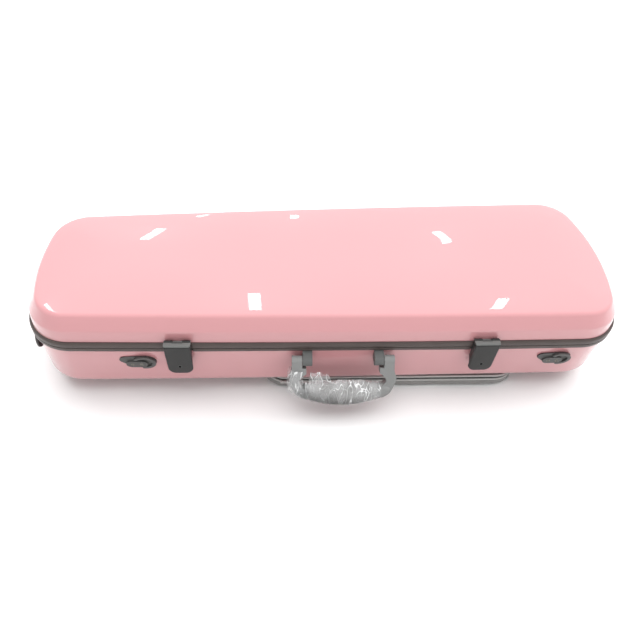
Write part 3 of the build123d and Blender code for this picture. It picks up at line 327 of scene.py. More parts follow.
shell = shell_finish()
band = band_finish()
seal = rubber_finish("seal", "seal_rubber", grey(0.018))
velvet = velvet_finish("velvet", "grey_velvet", (0.050, 0.046, 0.049), (0.185, 0.170, 0.178))
box_cloth = velvet_finish("box_cloth", "short_velvet", (0.060, 0.055, 0.058), (0.160, 0.148, 0.154))
strap_web = woven_finish("strap", "strap_webbing", (0.030, 0.028, 0.030), (0.110, 0.102, 0.106), 1.1)
steel = metal_finish("steel", "bright_steel", (0.62, 0.61, 0.60), (900.0,) * 3, 0.24)
dull_steel = metal_finish("steel", "dull_steel", (0.20, 0.19, 0.17), (900.0,) * 3, 0.42)
hinge_metal = metal_finish("hinge_metal", "nickel_plate", (0.56, 0.55, 0.53), (60.0, 60.0, 2600.0), 0.28)
latch_plastic = plastic_finish("latch_plastic", "latch_grey", (0.024, 0.024, 0.0235), 0.38, 0.3)
# A lighter copy of the dark latch plastic for the latch caps and brackets: painted light on tops that
# face the light.
latch_lit_plastic = plastic_finish("latch_plastic", "latch_top_grey", (0.105, 0.110, 0.105), 0.30, 0.6)
eyelet = plastic_finish("latch_plastic", "eyelet_shade", (0.075, 0.077, 0.075), 0.5, 0.4)
hole_shade = plastic_finish("latch_plastic", "hole_shade", grey(0.002), 0.8, 0.0)
lug_plastic = plastic_finish("handle_plastic", "lug_grey", (0.110, 0.113, 0.111), 0.42, 0.35)
handle_plastic = plastic_finish("handle_plastic", "handle_grey", (0.225, 0.227, 0.224), 0.42, 0.4)
grip = grip_finish()
film = film_finish()
hook_plastic = plastic_finish("hook_plastic", "hook_grey", (0.078, 0.077, 0.074), 0.42, 0.4)
foot_rubber = rubber_finish("foot_rubber", "foot_black", grey(0.022))
pocket_cloth = woven_finish(
    "pocket_cloth", "pocket_nylon", (0.160, 0.156, 0.150), (0.380, 0.370, 0.360), 0.9
)
piping_vinyl = rubber_finish("piping_vinyl", "piping_grey", (0.430, 0.425, 0.412), 900.0)
zip_cloth = woven_finish("zip_cloth", "zip_tape_cloth", grey(0.012), (0.050, 0.048, 0.047), 0.6)
zip_coil = plastic_finish("zip_coil", "zip_coil_black", grey(0.020), 0.4)
zip_metal = metal_finish("zip_metal", "zip_nickel", (0.50, 0.49, 0.48), (500.0,) * 3, 0.25)
spinner_plastic = plastic_finish("spinner_plastic", "spinner_black", (0.022, 0.021, 0.021), 0.32)
tip_cloth = velvet_finish("tip_cloth", "tip_velvet", (0.050, 0.046, 0.049), (0.170, 0.156, 0.163))


# Pieces


def linked(name, data):
    made = bpy.data.objects.new(name, data)
    scene.collection.objects.link(made)
    return made


def piece(bm, name, finish, body, stands_for=(), scale=MM, angle=40.0):
    """Make an object of a bmesh, in metres, with its finish, its body and the nodes it stands for.

    It is shaded smooth, except where two faces meet at more than an angle."""
    bmesh.ops.scale(bm, vec=(scale,) * 3, verts=bm.verts)
    for face in bm.faces:
        face.smooth = True
    for edge in bm.edges:
        edge.smooth = len(edge.link_faces) == 2 and edge.calc_face_angle(0.0) < math.radians(angle)
    mesh = bpy.data.meshes.new(name)
    bm.to_mesh(mesh)
    bm.free()
    mesh.materials.append(finish.material)
    made = linked(name, mesh)
    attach(made, body)
    if stands_for:
        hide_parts(*stands_for)
    return made


def eased_edges(made, width, segments, angle):
    """Round a piece's sharp edges by a width in millimetres."""
    bevel = made.modifiers.new("eased", "BEVEL")
    bevel.width = width * MM
    bevel.segments = segments
    bevel.limit_method = "ANGLE"
    bevel.angle_limit = math.radians(angle)
    bevel.use_clamp_overlap = True
    bevel.harden_normals = False


def walled(made, thickness):
    """Give an open skin a wall of a thickness in millimetres on its inner side."""
    wall = made.modifiers.new("wall", "SOLIDIFY")
    wall.thickness = thickness * MM
    wall.offset = -1.0


def verts_of(geom):
    return [g for g in geom if isinstance(g, BMVert)]


def around(verts, kind):
    """The edges or faces that meet at some vertices, each once and in a fixed order."""
    return list(dict.fromkeys(g for v in verts for g in getattr(v, f"link_{kind}")))


def bevelled(bm, geom, offset, segments, affect="EDGES"):
    bmesh.ops.bevel(
        bm, geom=geom, offset=offset, segments=segments, profile=0.5, affect=affect, material=-1
    )


def share_of(value, low, high):
    """How far a value lies from low (0) to high (1), and no further."""
    return min(1.0, max(0.0, (value - low) / (high - low)))


def merged_copy(node):
    """A node's mesh with its doubles merged and its flat faces whole."""
    bm = bmesh.new()
    bm.from_mesh(nodes[node].data)
    bmesh.ops.remove_doubles(bm, verts=bm.verts, dist=2e-6)
    bmesh.ops.dissolve_degenerate(bm, edges=bm.edges, dist=2e-6)
    bmesh.ops.dissolve_limit(
        bm, angle_limit=math.radians(1.5), use_dissolve_boundaries=False, verts=bm.verts, edges=bm.edges
    )
    return bm


def screw_seats(node):
    """Middle and outward direction of the flat top of each head of a node.

    A top is its head's largest face that has more sides than the strips round it."""
    bm = merged_copy(node)
    seats = []
    done = set()
    for first in bm.verts:
        if first in done:
            continue
        done.add(first)
        island = [first]
        for vertex in island:
            fresh = [e.other_vert(vertex) for e in vertex.link_edges if e.other_vert(vertex) not in done]
            done.update(fresh)
            island.extend(fresh)
        top = max(around(island, "faces"), key=lambda f: f.calc_area() if len(f.verts) > 5 else 0.0)
        seats.append((top.calc_center_median() / MM, top.normal.copy()))
    bm.free()
    return seats


# Strap hooks: their ovals are lower and flatter than their solids, on a plate against the wall

HOOKS = [f"strap_hook_{place}" for place in ("front_left", "front_right", "scroll_end", "body_end")]
HOOK_FOOT_Z = 61.2
HOOK_DROP = 2.6
HOOK_SQUEEZE = 0.79
HOOK_DEPTH = 0.58
END_HOOK_DEPTH = 0.36
PLATE_DEPTH = 2.2


def hook_seat(node):
    """Middle of a hook, outward direction of its wall and the wall's distance along it."""
    low, high = (Vector(corner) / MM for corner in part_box(node))
    middle = (low + high) / 2
    _, normal = min(screw_seats("hook_screws"), key=lambda seat: (seat[0] - middle).length)
    mesh = nodes[node].data
    wall = min((nodes[node].matrix_world @ v.co / MM).dot(normal) for v in mesh.vertices)
    return middle, normal, wall


hook_seats = {node: hook_seat(node) for node in HOOKS}


def pressed_place(place, normal, wall):
    """A point of a strap hook after its oval is lowered and flattened."""
    depth = END_HOOK_DEPTH if abs(normal.x) > 0.7 else HOOK_DEPTH
    place = place - normal * ((place.dot(normal) - wall) * (1 - depth))
    place.z = HOOK_FOOT_Z - HOOK_DROP + (place.z - HOOK_FOOT_Z) * HOOK_SQUEEZE
    return place


def press_hook(bm, node, finish):
    """Press a hook, and add its plate: the hook's outline, held to the plate's depth."""
    _, normal, wall = hook_seats[node]
    plate = bmesh.new()
    for vertex in bm.verts:
        vertex.co = pressed_place(vertex.co / MM, normal, wall) * MM
        proud = vertex.co.dot(normal) / MM - wall - PLATE_DEPTH
        plate.verts.new(vertex.co / MM - normal * max(0.0, proud))
    hull = bmesh.ops.convex_hull(plate, input=plate.verts)
    spare = dict.fromkeys(verts_of(hull["geom_interior"] + hull["geom_unused"]))
    bmesh.ops.delete(plate, geom=list(spare), context="VERTS")
    eased_edges(piece(plate, f"{node}_plate", finish, body_of_node[node]), 0.5, 2, 35.0)


# The base's half of the band and the latch brackets, whose shapes change a little

RIM_MIDDLE = 96.0
RIM_DROP = 1.8
BRACKET_TOP = 114.5
BRACKET_EYE = 3.6
BRACKET_SLOPE = 0.9


def lower_rim(bm):
    """Carry the lower edge of the base's half of the band down."""
    for vertex in bm.verts:
        if vertex.co.z < RIM_MIDDLE * MM:
            vertex.co.z -= RIM_DROP * MM


def slope_bracket(bm):
    """Slope a latch bracket's top behind its eye, clear of the turning cap."""
    front = min(v.co.y for v in bm.verts)
    for vertex in bm.verts:
        sloped = BRACKET_TOP * MM - (vertex.co.y - front - BRACKET_EYE * MM) * BRACKET_SLOPE
        vertex.co.z = min(vertex.co.z, sloped)


def softened(node, finish, width, segments=2, angle=35.0, name=None):
    """A copy of a CAD node with its edges eased, which stands for it."""
    bm = merged_copy(node)
    if node == "base_rim":
        lower_rim(bm)
    if node.startswith("latch_bracket"):
        slope_bracket(bm)
    if node in HOOKS:
        press_hook(bm, node, finish)
    made = piece(bm, name or f"{node}_eased", finish, body_of_node[node], [node], 1.0, angle)
    eased_edges(made, width, segments, angle)
    return made


# The plan of the case


def centre_of(a, b, c):
    """Centre of the circle through three points of the plan."""
    aa, bb, cc = (p.length_squared for p in (a, b, c))
    d = 2 * (a.x * (b.y - c.y) + b.x * (c.y - a.y) + c.x * (a.y - b.y))
    x = (aa * (b.y - c.y) + bb * (c.y - a.y) + cc * (a.y - b.y)) / d
    y = (aa * (c.x - b.x) + bb * (a.x - c.x) + cc * (b.x - a.x)) / d
    return Vector((x, y))


def half_depth(x):
    share = x / HALF_LENGTH
    return MID_HALF_DEPTH + HALF_TAPER * share - SIDE_BOW * share**2


def plan_arcs():
    """The plan's eight arcs, anticlockwise from the front wall, as (centre, start, turn, steps)."""
    ends, meets = {}, {}
    for side in (1, -1):
        ends[side] = Vector((side * (HALF_LENGTH - END_RADIUS), 0))
        rise = END_RADIUS - math.sqrt(END_RADIUS**2 - half_depth(side * HALF_LENGTH) ** 2)
        x = HALF_LENGTH - rise
        meets[side] = Vector((side * x, half_depth(side * x)))
    middle = Vector((0, half_depth(0)))
    back = centre_of(meets[-1], middle, meets[1])
    side_radius = (middle - back).length
    centres = {1: back, -1: Vector((back.x, -back.y))}

    def corner(side, across):
        """Centre of a corner's arc, and where it touches the long wall and the end."""
        meet = Vector((meets[side].x, across * meets[side].y))
        wall = centres[across]
        found = geometry.intersect_sphere_sphere_2d(
            wall, side_radius - CORNER, ends[side], END_RADIUS - CORNER
        )
        centre = min((Vector(p) for p in found), key=lambda p: (p - meet).length)
        on_wall = wall + (centre - wall).normalized() * side_radius
        on_end = ends[side] + (centre - ends[side]).normalized() * END_RADIUS
        return centre, on_wall, on_end

    front_left, front_right = corner(-1, -1), corner(1, -1)
    back_right, back_left = corner(1, 1), corner(-1, 1)
    wall_steps, corner_steps = 40, 18
    runs = [
        (centres[-1], front_left[1], front_right[1], wall_steps),
        (*front_right, corner_steps),
        (ends[1], front_right[2], back_right[2], corner_steps),
        (back_right[0], back_right[2], back_right[1], corner_steps),
        (centres[1], back_right[1], back_left[1], wall_steps),
        (*back_left, corner_steps),
        (ends[-1], back_left[2], front_left[2], corner_steps),
        (front_left[0], front_left[2], front_left[1], corner_steps),
    ]
    arcs = []
    for centre, start, end, steps in runs:
        one, two = start - centre, end - centre
        turn = math.atan2(one.x * two.y - one.y * two.x, one.dot(two))
        arcs.append((centre, start, turn, steps))
    return arcs


def rounded_arcs(length, width, radius, centre, steps):
    """A rounded rectangle's four corners, anticlockwise from its front, as arcs."""
    x, y = length / 2 - radius, width / 2 - radius
    arcs = []
    for index, corner in enumerate(((x, -y), (x, y), (-x, y), (-x, -y))):
        start = Vector((0, -radius))
        start.rotate(Matrix.Rotation(index * math.pi / 2, 2))
        middle = Vector(corner) + centre
        arcs.append((middle, middle + start, math.pi / 2, steps))
    return arcs


class Skin:
    """A surface laid ring by ring, where a ring is a closed run of edges."""

    def __init__(self):
        self.bm = bmesh.new()
        self.home = self.bm.verts.layers.float_vector.new("home")
        self.started = False

    def lay(self, place_of):
        """Lay the next ring: the first where it is, each later one drawn out of the last."""
        fresh = set(self.bm.verts)
        if self.started:
            made = bmesh.ops.extrude_edge_only(self.bm, edges=self.ring)["geom"]
            fresh = set(verts_of(made))
            self.ring = [g for g in made if isinstance(g, BMEdge) and all(v in fresh for v in g.verts)]
        self.started = True
        for vertex in fresh:
            vertex.co = place_of(vertex)

    def close(self, ring=None):
        """Close the surface across a ring, or across its last one."""
        bmesh.ops.edgeloop_fill(self.bm, edges=ring or self.ring)
        return self

    def merged(self):
        """Close the surface onto its first ring, where the last one lies."""
        bmesh.ops.remove_doubles(self.bm, verts=self.bm.verts, dist=0.01)
        return self

    def outwards(self):
        bmesh.ops.recalc_face_normals(self.bm, faces=self.bm.faces)
        return self.bm


KNEE = 55.0


class Wall(Skin):
    """A surface carried round a closed outline by inset and height.

    Up to the knee its outline is offset; further in it shrinks evenly. `straight` is the number of
    steps along a straight run between two arcs."""

    def __init__(self, arcs, turned, middle, half_size, straight=1, knee=KNEE):
        super().__init__()
        self.out = self.bm.verts.layers.float_vector.new("out")
        self.half_size = half_size
        self.middle = Vector((*middle, 0.0))
        self.knee = knee
        self.turn = Matrix.Rotation(turned, 3, "Z")
        laid = []

        def run_to(end, out):
            """Walk from the last vertex to an end in even steps."""
            step = (end - laid[-1][0].co) / straight
            for _ in range(straight):
                made = bmesh.ops.extrude_vert_indiv(self.bm, verts=[laid[-1][0]])["verts"][0]
                made.co += step
                laid.append((made, out))

        for centre, start, turn, steps in arcs:
            corner = centre.to_3d()
            begin = start.to_3d()
            out = (begin - corner).normalized()
            if not laid:
                laid.append((self.bm.verts.new(begin), out))
            elif (laid[-1][0].co - begin).length > 1.0:
                run_to(begin, out)
            last = laid[-1][0]
            last.co = begin
            before = len(self.bm.verts)
            bmesh.ops.spin(
                self.bm, geom=[last], cent=corner, axis=(0, 0, 1), angle=turn, steps=steps,
                use_merge=False, use_duplicate=False,
            )
            self.bm.verts.ensure_lookup_table()
            new = [self.bm.verts[i] for i in range(before, len(self.bm.verts))]
            laid.extend((v, (v.co - corner).normalized()) for v in new)
        first, out = laid[0]
        if (laid[-1][0].co - first.co).length > 1.0:
            run_to(first.co.copy(), out)
        laid[-1][0].co = first.co
        for vertex, out in laid:
            vertex[self.home] = self.turn @ vertex.co
            vertex[self.out] = self.turn @ out
        bmesh.ops.remove_doubles(self.bm, verts=self.bm.verts, dist=0.02)
        self.ring = list(self.bm.edges)

    def spot(self, vertex, inset, height):
        """Place of the outline's vertex at an inset and a height."""
        near = min(inset, self.knee)
        place = vertex[self.home] - vertex[self.out] * near
        if inset > near:
            flat = self.turn.inverted() @ (place - self.middle)
            flat.x *= (self.half_size[0] - inset) / (self.half_size[0] - near)
            flat.y *= (self.half_size[1] - inset) / (self.half_size[1] - near)
            place = self.turn @ flat + self.middle
        return Vector((place.x, place.y, height))

    def carry(self, profile):
        """Carry the ring along a profile of (inset, height)."""
        for inset, height in profile:
            self.lay(lambda vertex: self.spot(vertex, inset, height))
        return self


class Tube(Skin):
    """A surface carried along a line of sections, from a ring that starts as a unit circle."""

    def __init__(self, sides):
        super().__init__()
        bmesh.ops.create_circle(self.bm, cap_ends=False, segments=sides, radius=1.0)
        for vertex in self.bm.verts:
            vertex[self.home] = vertex.co
        self.ring = list(self.bm.edges)
        self.first = list(self.bm.edges)

    def carry(self, sections):
        """Each section is (middle, half width vector, half height vector)."""
        for middle, wide, high in sections:
            self.lay(lambda vertex: middle + wide * vertex[self.home].x + high * vertex[self.home].y)
        return self

    def capped(self):
        return self.close(self.first).close()


def eased(profile, corners, steps=6):
    """A profile with some corners, given as {index: radius}, rounded."""
    result = []
    for index, point in enumerate(profile):
        if index not in corners:
            result.append(point)
            continue
        corner = Vector(point)
        back = (Vector(profile[index - 1]) - corner).normalized()
        forth = (Vector(profile[index + 1]) - corner).normalized()
        turn = math.pi - back.angle(forth)
        radius = corners[index]
        centre = corner + (back + forth).normalized() * (radius / cos(turn / 2))
        start = corner + back * (radius * math.tan(turn / 2)) - centre
        end = corner + forth * (radius * math.tan(turn / 2)) - centre
        for step in range(steps + 1):
            share = step / steps
            near, far = sin((1 - share) * turn), sin(share * turn)
            place = centre + (start * near + end * far) / sin(turn)
            result.append((place.x, place.y))
    return result


# Lid coat: the wall, two soft creases and the crowned top

COAT_INSET = 3.0
FLAT_INSET = 116.0
LID_FOOT_Z = 106.0
CREASE = 9.0
CROWN_RINGS = (28, 38, 48, 55, 66, 78, 90, 100, FLAT_INSET)


def crown_height(inset):
    share = share_of(inset, SHOULDER_INSET, CROWN_REACH)
    return SHOULDER_Z + CROWN * (1 - (1 - share) ** 2)


case_arcs = plan_arcs()


def case_wall():
    return Wall(case_arcs, TAPER, (0.0, 0.0), (HALF_LENGTH, MID_HALF_DEPTH))


lid_profile = [
    (COAT_INSET, LID_FOOT_Z), (5.3, WALL_TOP_Z), (SHOULDER_INSET, SHOULDER_Z),
    *[(inset, crown_height(inset)) for inset in CROWN_RINGS],
]
lid_skin = case_wall().carry(eased(lid_profile, {1: CREASE, 2: CREASE})).close()
lid_coat = piece(lid_skin.outwards(), "lid_coat", shell, "lid", ["lid_shell"], angle=60)
walled(lid_coat, LID_WALL)

# Base coat: the wall that leans in towards the floor, fuller low down towards the scroll end

BASE_TOP_Z = 97.5
BASE_FULLNESS = 4.6
FULLNESS_X = (140.0, -340.0)
FULLNESS_Y = (0.0, -90.0)
base_profile = [(COAT_INSET, BASE_TOP_Z), (7.0, BASE_Z), (35.0, BASE_Z), (FLAT_INSET, BASE_Z)]
base_skin = case_wall().carry(eased(base_profile, {1: 14.0}, 8)).close()
for vertex in base_skin.bm.verts:
    place = vertex.co
    down = (BASE_TOP_Z - place.z) / (BASE_TOP_Z - BASE_Z)
    place.y -= BASE_FULLNESS * share_of(place.x, *FULLNESS_X) * share_of(place.y, *FULLNESS_Y) * down**2
base_coat = piece(base_skin.outwards(), "base_coat", shell, "base", ["base_shell"], angle=60)
walled(base_coat, BASE_WALL)

# Band of the lid: a bowed strip with a rounded lip, hollow for the seal

band_profile = [
    (3.0, 99.8), (0.9, 99.8), (0.25, 100.3), (0.0, 101.4), (0.0, 105.3), (0.35, 106.9), (1.1, 107.9),
    (2.1, 108.4), (3.3, 108.5), (3.3, 106.2), (8.8, 106.2), (8.8, 99.8), (6.8, 99.8), (6.8, 101.2),
    (4.0, 101.2), (4.0, 99.8), (3.0, 99.8),
]
lid_band = case_wall().carry(band_profile).merged()
piece(lid_band.outwards(), "lid_band", band, "lid", ["lid_rim"], angle=50)
softened("base_rim", band, 0.35, angle=30.0, name="base_band")
softened("rim_seal", seal, 0.5, angle=30.0)

# Hardware that keeps its CAD shape, as (width of its eased edges, finish, nodes)

BROAD_EASING = 1.0
SIDES = ("left", "right")
HINGES = ("scroll_end", "middle", "body_end")
BOWS = ("front", "back")


def each(ends, *stems):
    return [f"{stem}_{end}" for stem in stems for end in ends]


for width, finish, members in (
    (0.25, steel, ["accessory_pin", *each(HINGES, "hinge_pin"), *each(SIDES, "handle_pin", "latch_pin")]),
    (0.25, latch_lit_plastic, each(SIDES, "latch_bracket")),
    (0.25, steel, each(SIDES, "latch_keeper")),
    (0.25, zip_metal, ("zip_slider", "zip_pull")),
    (0.35, hinge_metal, each(HINGES, "hinge_leaf_base", "hinge_leaf_lid")),
    (0.8, hook_plastic, HOOKS),
    (0.8, box_cloth, ("accessory_tray", "accessory_box", "accessory_lid")),
    (0.8, strap_web, ("accessory_lid_tab",)),
    (1.0, latch_plastic, each(SIDES, "latch")),
    (1.0, spinner_plastic, each(BOWS, "bow_spinner", "bow_holder")),
    (1.0, tip_cloth, each(BOWS, "bow_tip_pocket")),
    (1.6, lug_plastic, each(SIDES, "handle_lug")),
    (1.6, foot_rubber, ("spine_feet",)),
    (2.6, handle_plastic, ("handle_frame",)),
):
    for node in members:
        softened(node, finish, width, 4 if width >= BROAD_EASING else 2)

# Latches: a capped top over each lever's barrel, in a lighter grey as painted light, a rounded face plate
# with an eyelet and a near-black disc as painted shade of its hole, and two dark rear bars, partly
# painted shade

FACE_BACK = -6.2
FACE_DEPTH = 2.8
FACE_OUTLINE = ((-16.75, 1.5), (-15.9, -51.6), (15.9, -51.6), (16.75, 1.5))
EYELET_Z = -36.5
HOLE_RADIUS = 1.9
RING_RADIUS = 2.6
RING_HEIGHT = 0.3
CAP_FOOT = 1.35
CAP_THICK = 1.7
CAP_OUTLINE = (
    (-16.75, -8.4), (16.75, -8.4), (16.75, 1.8), (6.3, 1.8), (6.3, -2.5), (-6.3, -2.5), (-6.3, 1.8),
    (-16.75, 1.8),
)
REAR_FOOT = -0.9
REAR_THICK = 2.6
REAR_OUTLINE = ((6.4, 0.8), (16.45, 0.8), (16.45, 3.2), (6.4, 3.2))
MIRRORED_REAR = tuple((-x, y) for x, y in REAR_OUTLINE)


def slab(outline, thickness, rounded, radius, rim):
    """Plate of an outline, with some corners rounded and its upper rim eased."""
    bm = bmesh.new()
    corners = [bm.verts.new((x, y, 0.0)) for x, y in outline]
    sides = [bm.edges.new(pair) for pair in zip(corners, corners[1:] + corners[:1])]
    bmesh.ops.edgeloop_fill(bm, edges=sides)
    bevelled(bm, [corners[i] for i in rounded], radius, 8, "VERTICES")
    raised = bmesh.ops.extrude_face_region(bm, geom=bm.faces[:])["geom"]
    bmesh.ops.translate(bm, vec=(0, 0, thickness), verts=verts_of(raised))
    rims = [e for e in bm.edges if all(v.co.z > thickness - 0.01 for v in e.verts)]
    bevelled(bm, rims, rim, 5)
    bmesh.ops.recalc_face_normals(bm, faces=bm.faces)
    return bm


def lifted(place, y, z):
    return place @ Matrix.Translation((0, y, z))


for side in SIDES:
    hinge = hinges[f"latch_{side}_hinge"]
    run = Vector(hinge["axis"]).normalized()
    run = run if run.x > 0 else -run
    turn = Matrix((run, (-run.y, run.x, 0.0), (0, 0, 1))).transposed().to_4x4()
    pivot = Matrix.Translation(Vector(hinge["pos_m"]) / MM) @ turn
    front = lifted(pivot, FACE_BACK, 0) @ Matrix.Rotation(math.pi / 2, 4, "X")
    eyelet_seat = lifted(front, EYELET_Z, FACE_DEPTH)
    rear = lifted(pivot, 0, REAR_FOOT)
    # The hole is a near-black disc laid on the face: painted shade of the hole's depth.
    hole = bmesh.new()
    bmesh.ops.create_circle(hole, cap_ends=True, segments=20, radius=HOLE_RADIUS)
    ring = bmesh.new()
    bmesh.ops.create_cone(
        ring, cap_ends=False, segments=24, radius1=RING_RADIUS, radius2=HOLE_RADIUS, depth=RING_HEIGHT
    )
    for name, bm, finish, place in (
        ("cap", slab(CAP_OUTLINE, CAP_THICK, (0, 1), 2.4, 0.6), latch_lit_plastic, lifted(pivot, 0, CAP_FOOT)),
        ("face", slab(FACE_OUTLINE, FACE_DEPTH, (1, 2), 10.0, 2.4), latch_plastic, front),
        # The rear bars are dark: partly the top's own dark back edge, partly painted shade of the gap
        # between the latch and the lid wall.
        ("rear_a", slab(REAR_OUTLINE, REAR_THICK, (2,), 1.4, 0.3), latch_plastic, rear),
        ("rear_b", slab(MIRRORED_REAR, REAR_THICK, (2,), 1.4, 0.3), latch_plastic, rear),
        ("hole", hole, hole_shade, lifted(eyelet_seat, 0, 0.08)),
        ("ring", ring, eyelet, lifted(eyelet_seat, 0, RING_HEIGHT / 2)),
    ):
        bmesh.ops.transform(bm, matrix=place, verts=bm.verts)
        piece(bm, f"latch_{name}_{side}", finish, f"latch_{side}", angle=30)

# Screws and rivets: turned heads with a cross recess, set where the CAD heads are

HEAD_RADIUS = 2.6
HEAD_HEIGHT = 1.2
HEAD_TOP = 0.86
HEAD_EASING = 0.22
SLOT_HALF = HEAD_RADIUS * 0.17
SLOT_REACH = HEAD_RADIUS * 0.60
SLOT_DEPTH = HEAD_HEIGHT * 0.55


def cut_cross(bm, own):
    """Cut a head's flat top by four pairs of planes and press the cross between them in."""
    for axis in ((1, 0, 0), (0, 1, 0)):
        for cut in (-SLOT_REACH, -SLOT_HALF, SLOT_HALF, SLOT_REACH):
            geom = own() + around(own(), "edges") + around(own(), "faces")
            origin = [a * cut for a in axis]
            bmesh.ops.bisect_plane(bm, geom=geom, dist=1e-5, plane_co=origin, plane_no=axis)
    pressed = []
    for face in around(own(), "faces"):
        middle = face.calc_center_median()
        near, far = sorted((abs(middle.x), abs(middle.y)))
        if face.normal.z > 0.99 and near < SLOT_HALF and far < SLOT_REACH:
            pressed.append(face)
    sunk = bmesh.ops.extrude_face_region(bm, geom=pressed)["geom"]
    bmesh.ops.delete(bm, geom=pressed, context="FACES_KEEP_BOUNDARY")
    bmesh.ops.translate(bm, vec=(0, 0, -SLOT_DEPTH), verts=verts_of(sunk))


def screw_head(bm, done, centre, normal, crossed):
    """Add one domed head to those that are done."""

    def own():
        return [v for v in bm.verts if v not in done]

    made = bmesh.ops.create_cone(
        bm, cap_ends=True, cap_tris=False, segments=24, radius1=HEAD_RADIUS,
        radius2=HEAD_RADIUS * HEAD_TOP, depth=HEAD_HEIGHT,
    )
    rim = [e for e in around(made["verts"], "edges") if all(v.co.z > 0 for v in e.verts)]
    bevelled(bm, rim, HEAD_RADIUS * HEAD_EASING, 3)
    if crossed:
        cut_cross(bm, own)
    turn = normal.to_track_quat("Z", "Y").to_matrix().to_4x4()
    place = Matrix.Translation(centre - normal * (HEAD_HEIGHT / 2)) @ turn
    bmesh.ops.transform(bm, matrix=place, verts=own())
    done.update(own())


for node, finish, crossed in (
    ("hook_screws", dull_steel, True), ("hinge_screws_lid", steel, True),
    ("hinge_screws_base", steel, True), ("keeper_rivets", steel, False),
):
    bm = bmesh.new()
    done = set()
    for centre, normal in screw_seats(node):
        if node == "hook_screws":
            near = min(hook_seats.values(), key=lambda seat: (seat[0] - centre).length)
            centre = pressed_place(centre, near[1], near[2])
        screw_head(bm, done, centre, normal, crossed)
    piece(bm, f"{node}_heads", finish, body_of_node[node], [node], angle=30)

# Padded linings and the strap


def weave_map(made):
    """Give a piece a map in metres, laid on from the side that each face looks to."""
    mesh = made.data
    uv = mesh.uv_layers.new(name=WEAVE_MAP)
    for face in mesh.polygons:
        across = [abs(n) for n in face.normal]
        first, second = ((1, 2), (0, 2), (0, 1))[across.index(max(across))]
        for loop in face.loop_indices:
            place = mesh.vertices[mesh.loops[loop].vertex_index].co
            uv.data[loop].uv = (place[first], place[second])


def even_skin(bm, name, finish, body, voxel, rounds, scale):
    """A closed mesh skinned again in even squares of a voxel in millimetres, then smoothed."""
    source = piece(bm, name, finish, body, scale=scale)
    skin = source.modifiers.new("skin", "REMESH")
    skin.mode = "VOXEL"
    skin.voxel_size = voxel * MM
    bpy.context.view_layer.update()
    mesh = bpy.data.meshes.new_from_object(source.evaluated_get(bpy.context.evaluated_depsgraph_get()))
    made = bmesh.new()
    made.from_mesh(mesh)
    bpy.data.objects.remove(source)
    for _ in range(rounds):
        bmesh.ops.smooth_vert(
            made, verts=made.verts, factor=0.5, use_axis_x=True, use_axis_y=True, use_axis_z=True
        )
    made.normal_update()
    return made


def cushioned(node, name, voxel, rounds, grown):
    """Velvet pad made from a soft node: an even skin, grown by millimetres, with an uneven pile."""
    body = body_of_node[node]
    bm = even_skin(merged_copy(node), f"{name}_source", velvet, body, voxel, rounds, 1.0)
    for vertex in bm.verts:
        swell = noise.noise(vertex.co * 28.0) * 0.2 + noise.noise(vertex.co * 95.0) * 0.08
        vertex.co += vertex.normal * (swell + grown) * MM
    made = piece(bm, name, velvet, body, [node], 1.0, 180)


cushioned("base_lining", "velvet_bed", 4.0, 3, 0.9)
cushioned("lid_lining", "velvet_lid_pad", 3.6, 3, 0.9)
cushioned("neck_cradle", "velvet_cradle", 2.4, 4, -0.3)
weave_map(softened("neck_strap", strap_web, 0.5, angle=30.0, name="neck_strap_web"))

# Pocket under the base: a soft nylon bag between two rows of piping, swollen by a short cloth run

POCKET_STEPS = 10
POCKET_RUN_STEPS = 24
POCKET_KNEE = 24.0
POCKET_VOXEL = 3.0
PRESSURE = 4.0
SWELL_CAP = 0.7
pocket_middle = Vector((POCKET_CENTRE, POCKET_FRONT + POCKET_WIDTH / 2))
pocket_half = (POCKET_LENGTH / 2, POCKET_WIDTH / 2)
pocket_arcs = rounded_arcs(POCKET_LENGTH, POCKET_WIDTH, POCKET_RADIUS, pocket_middle, POCKET_STEPS)


def pocket_wall(knee=KNEE):
    return Wall(pocket_arcs, 0.0, pocket_middle, pocket_half, POCKET_RUN_STEPS, knee)


def swollen(made, pressure, cap, frames=20):
    """Run a short cloth simulation on a closed piece, keeping each point within a cap in millimetres."""
    before = [v.co.copy() for v in made.data.vertices]
    cloth = made.modifiers.new("cloth", "CLOTH")
    cloth.settings.quality = 5
    cloth.settings.mass = 0.2
    cloth.settings.use_pressure = True
    cloth.settings.uniform_pressure_force = pressure
    cloth.settings.effector_weights.gravity = 0.0
    cloth.settings.tension_stiffness = 15.0
    cloth.settings.bending_stiffness = 0.5
    cloth.point_cache.frame_start = 1
    cloth.point_cache.frame_end = frames
    for step in range(1, frames + 1):
        scene.frame_set(step)
    ready = made.evaluated_get(bpy.context.evaluated_depsgraph_get()).to_mesh()
    after = [v.co.copy() for v in ready.vertices]
    made.modifiers.remove(cloth)
    scene.frame_set(1)
    for vertex, start, end in zip(made.data.vertices, before, after):
        move = end - start
        if move.length > cap * MM:
            move *= cap * MM / move.length
        vertex.co = start + move


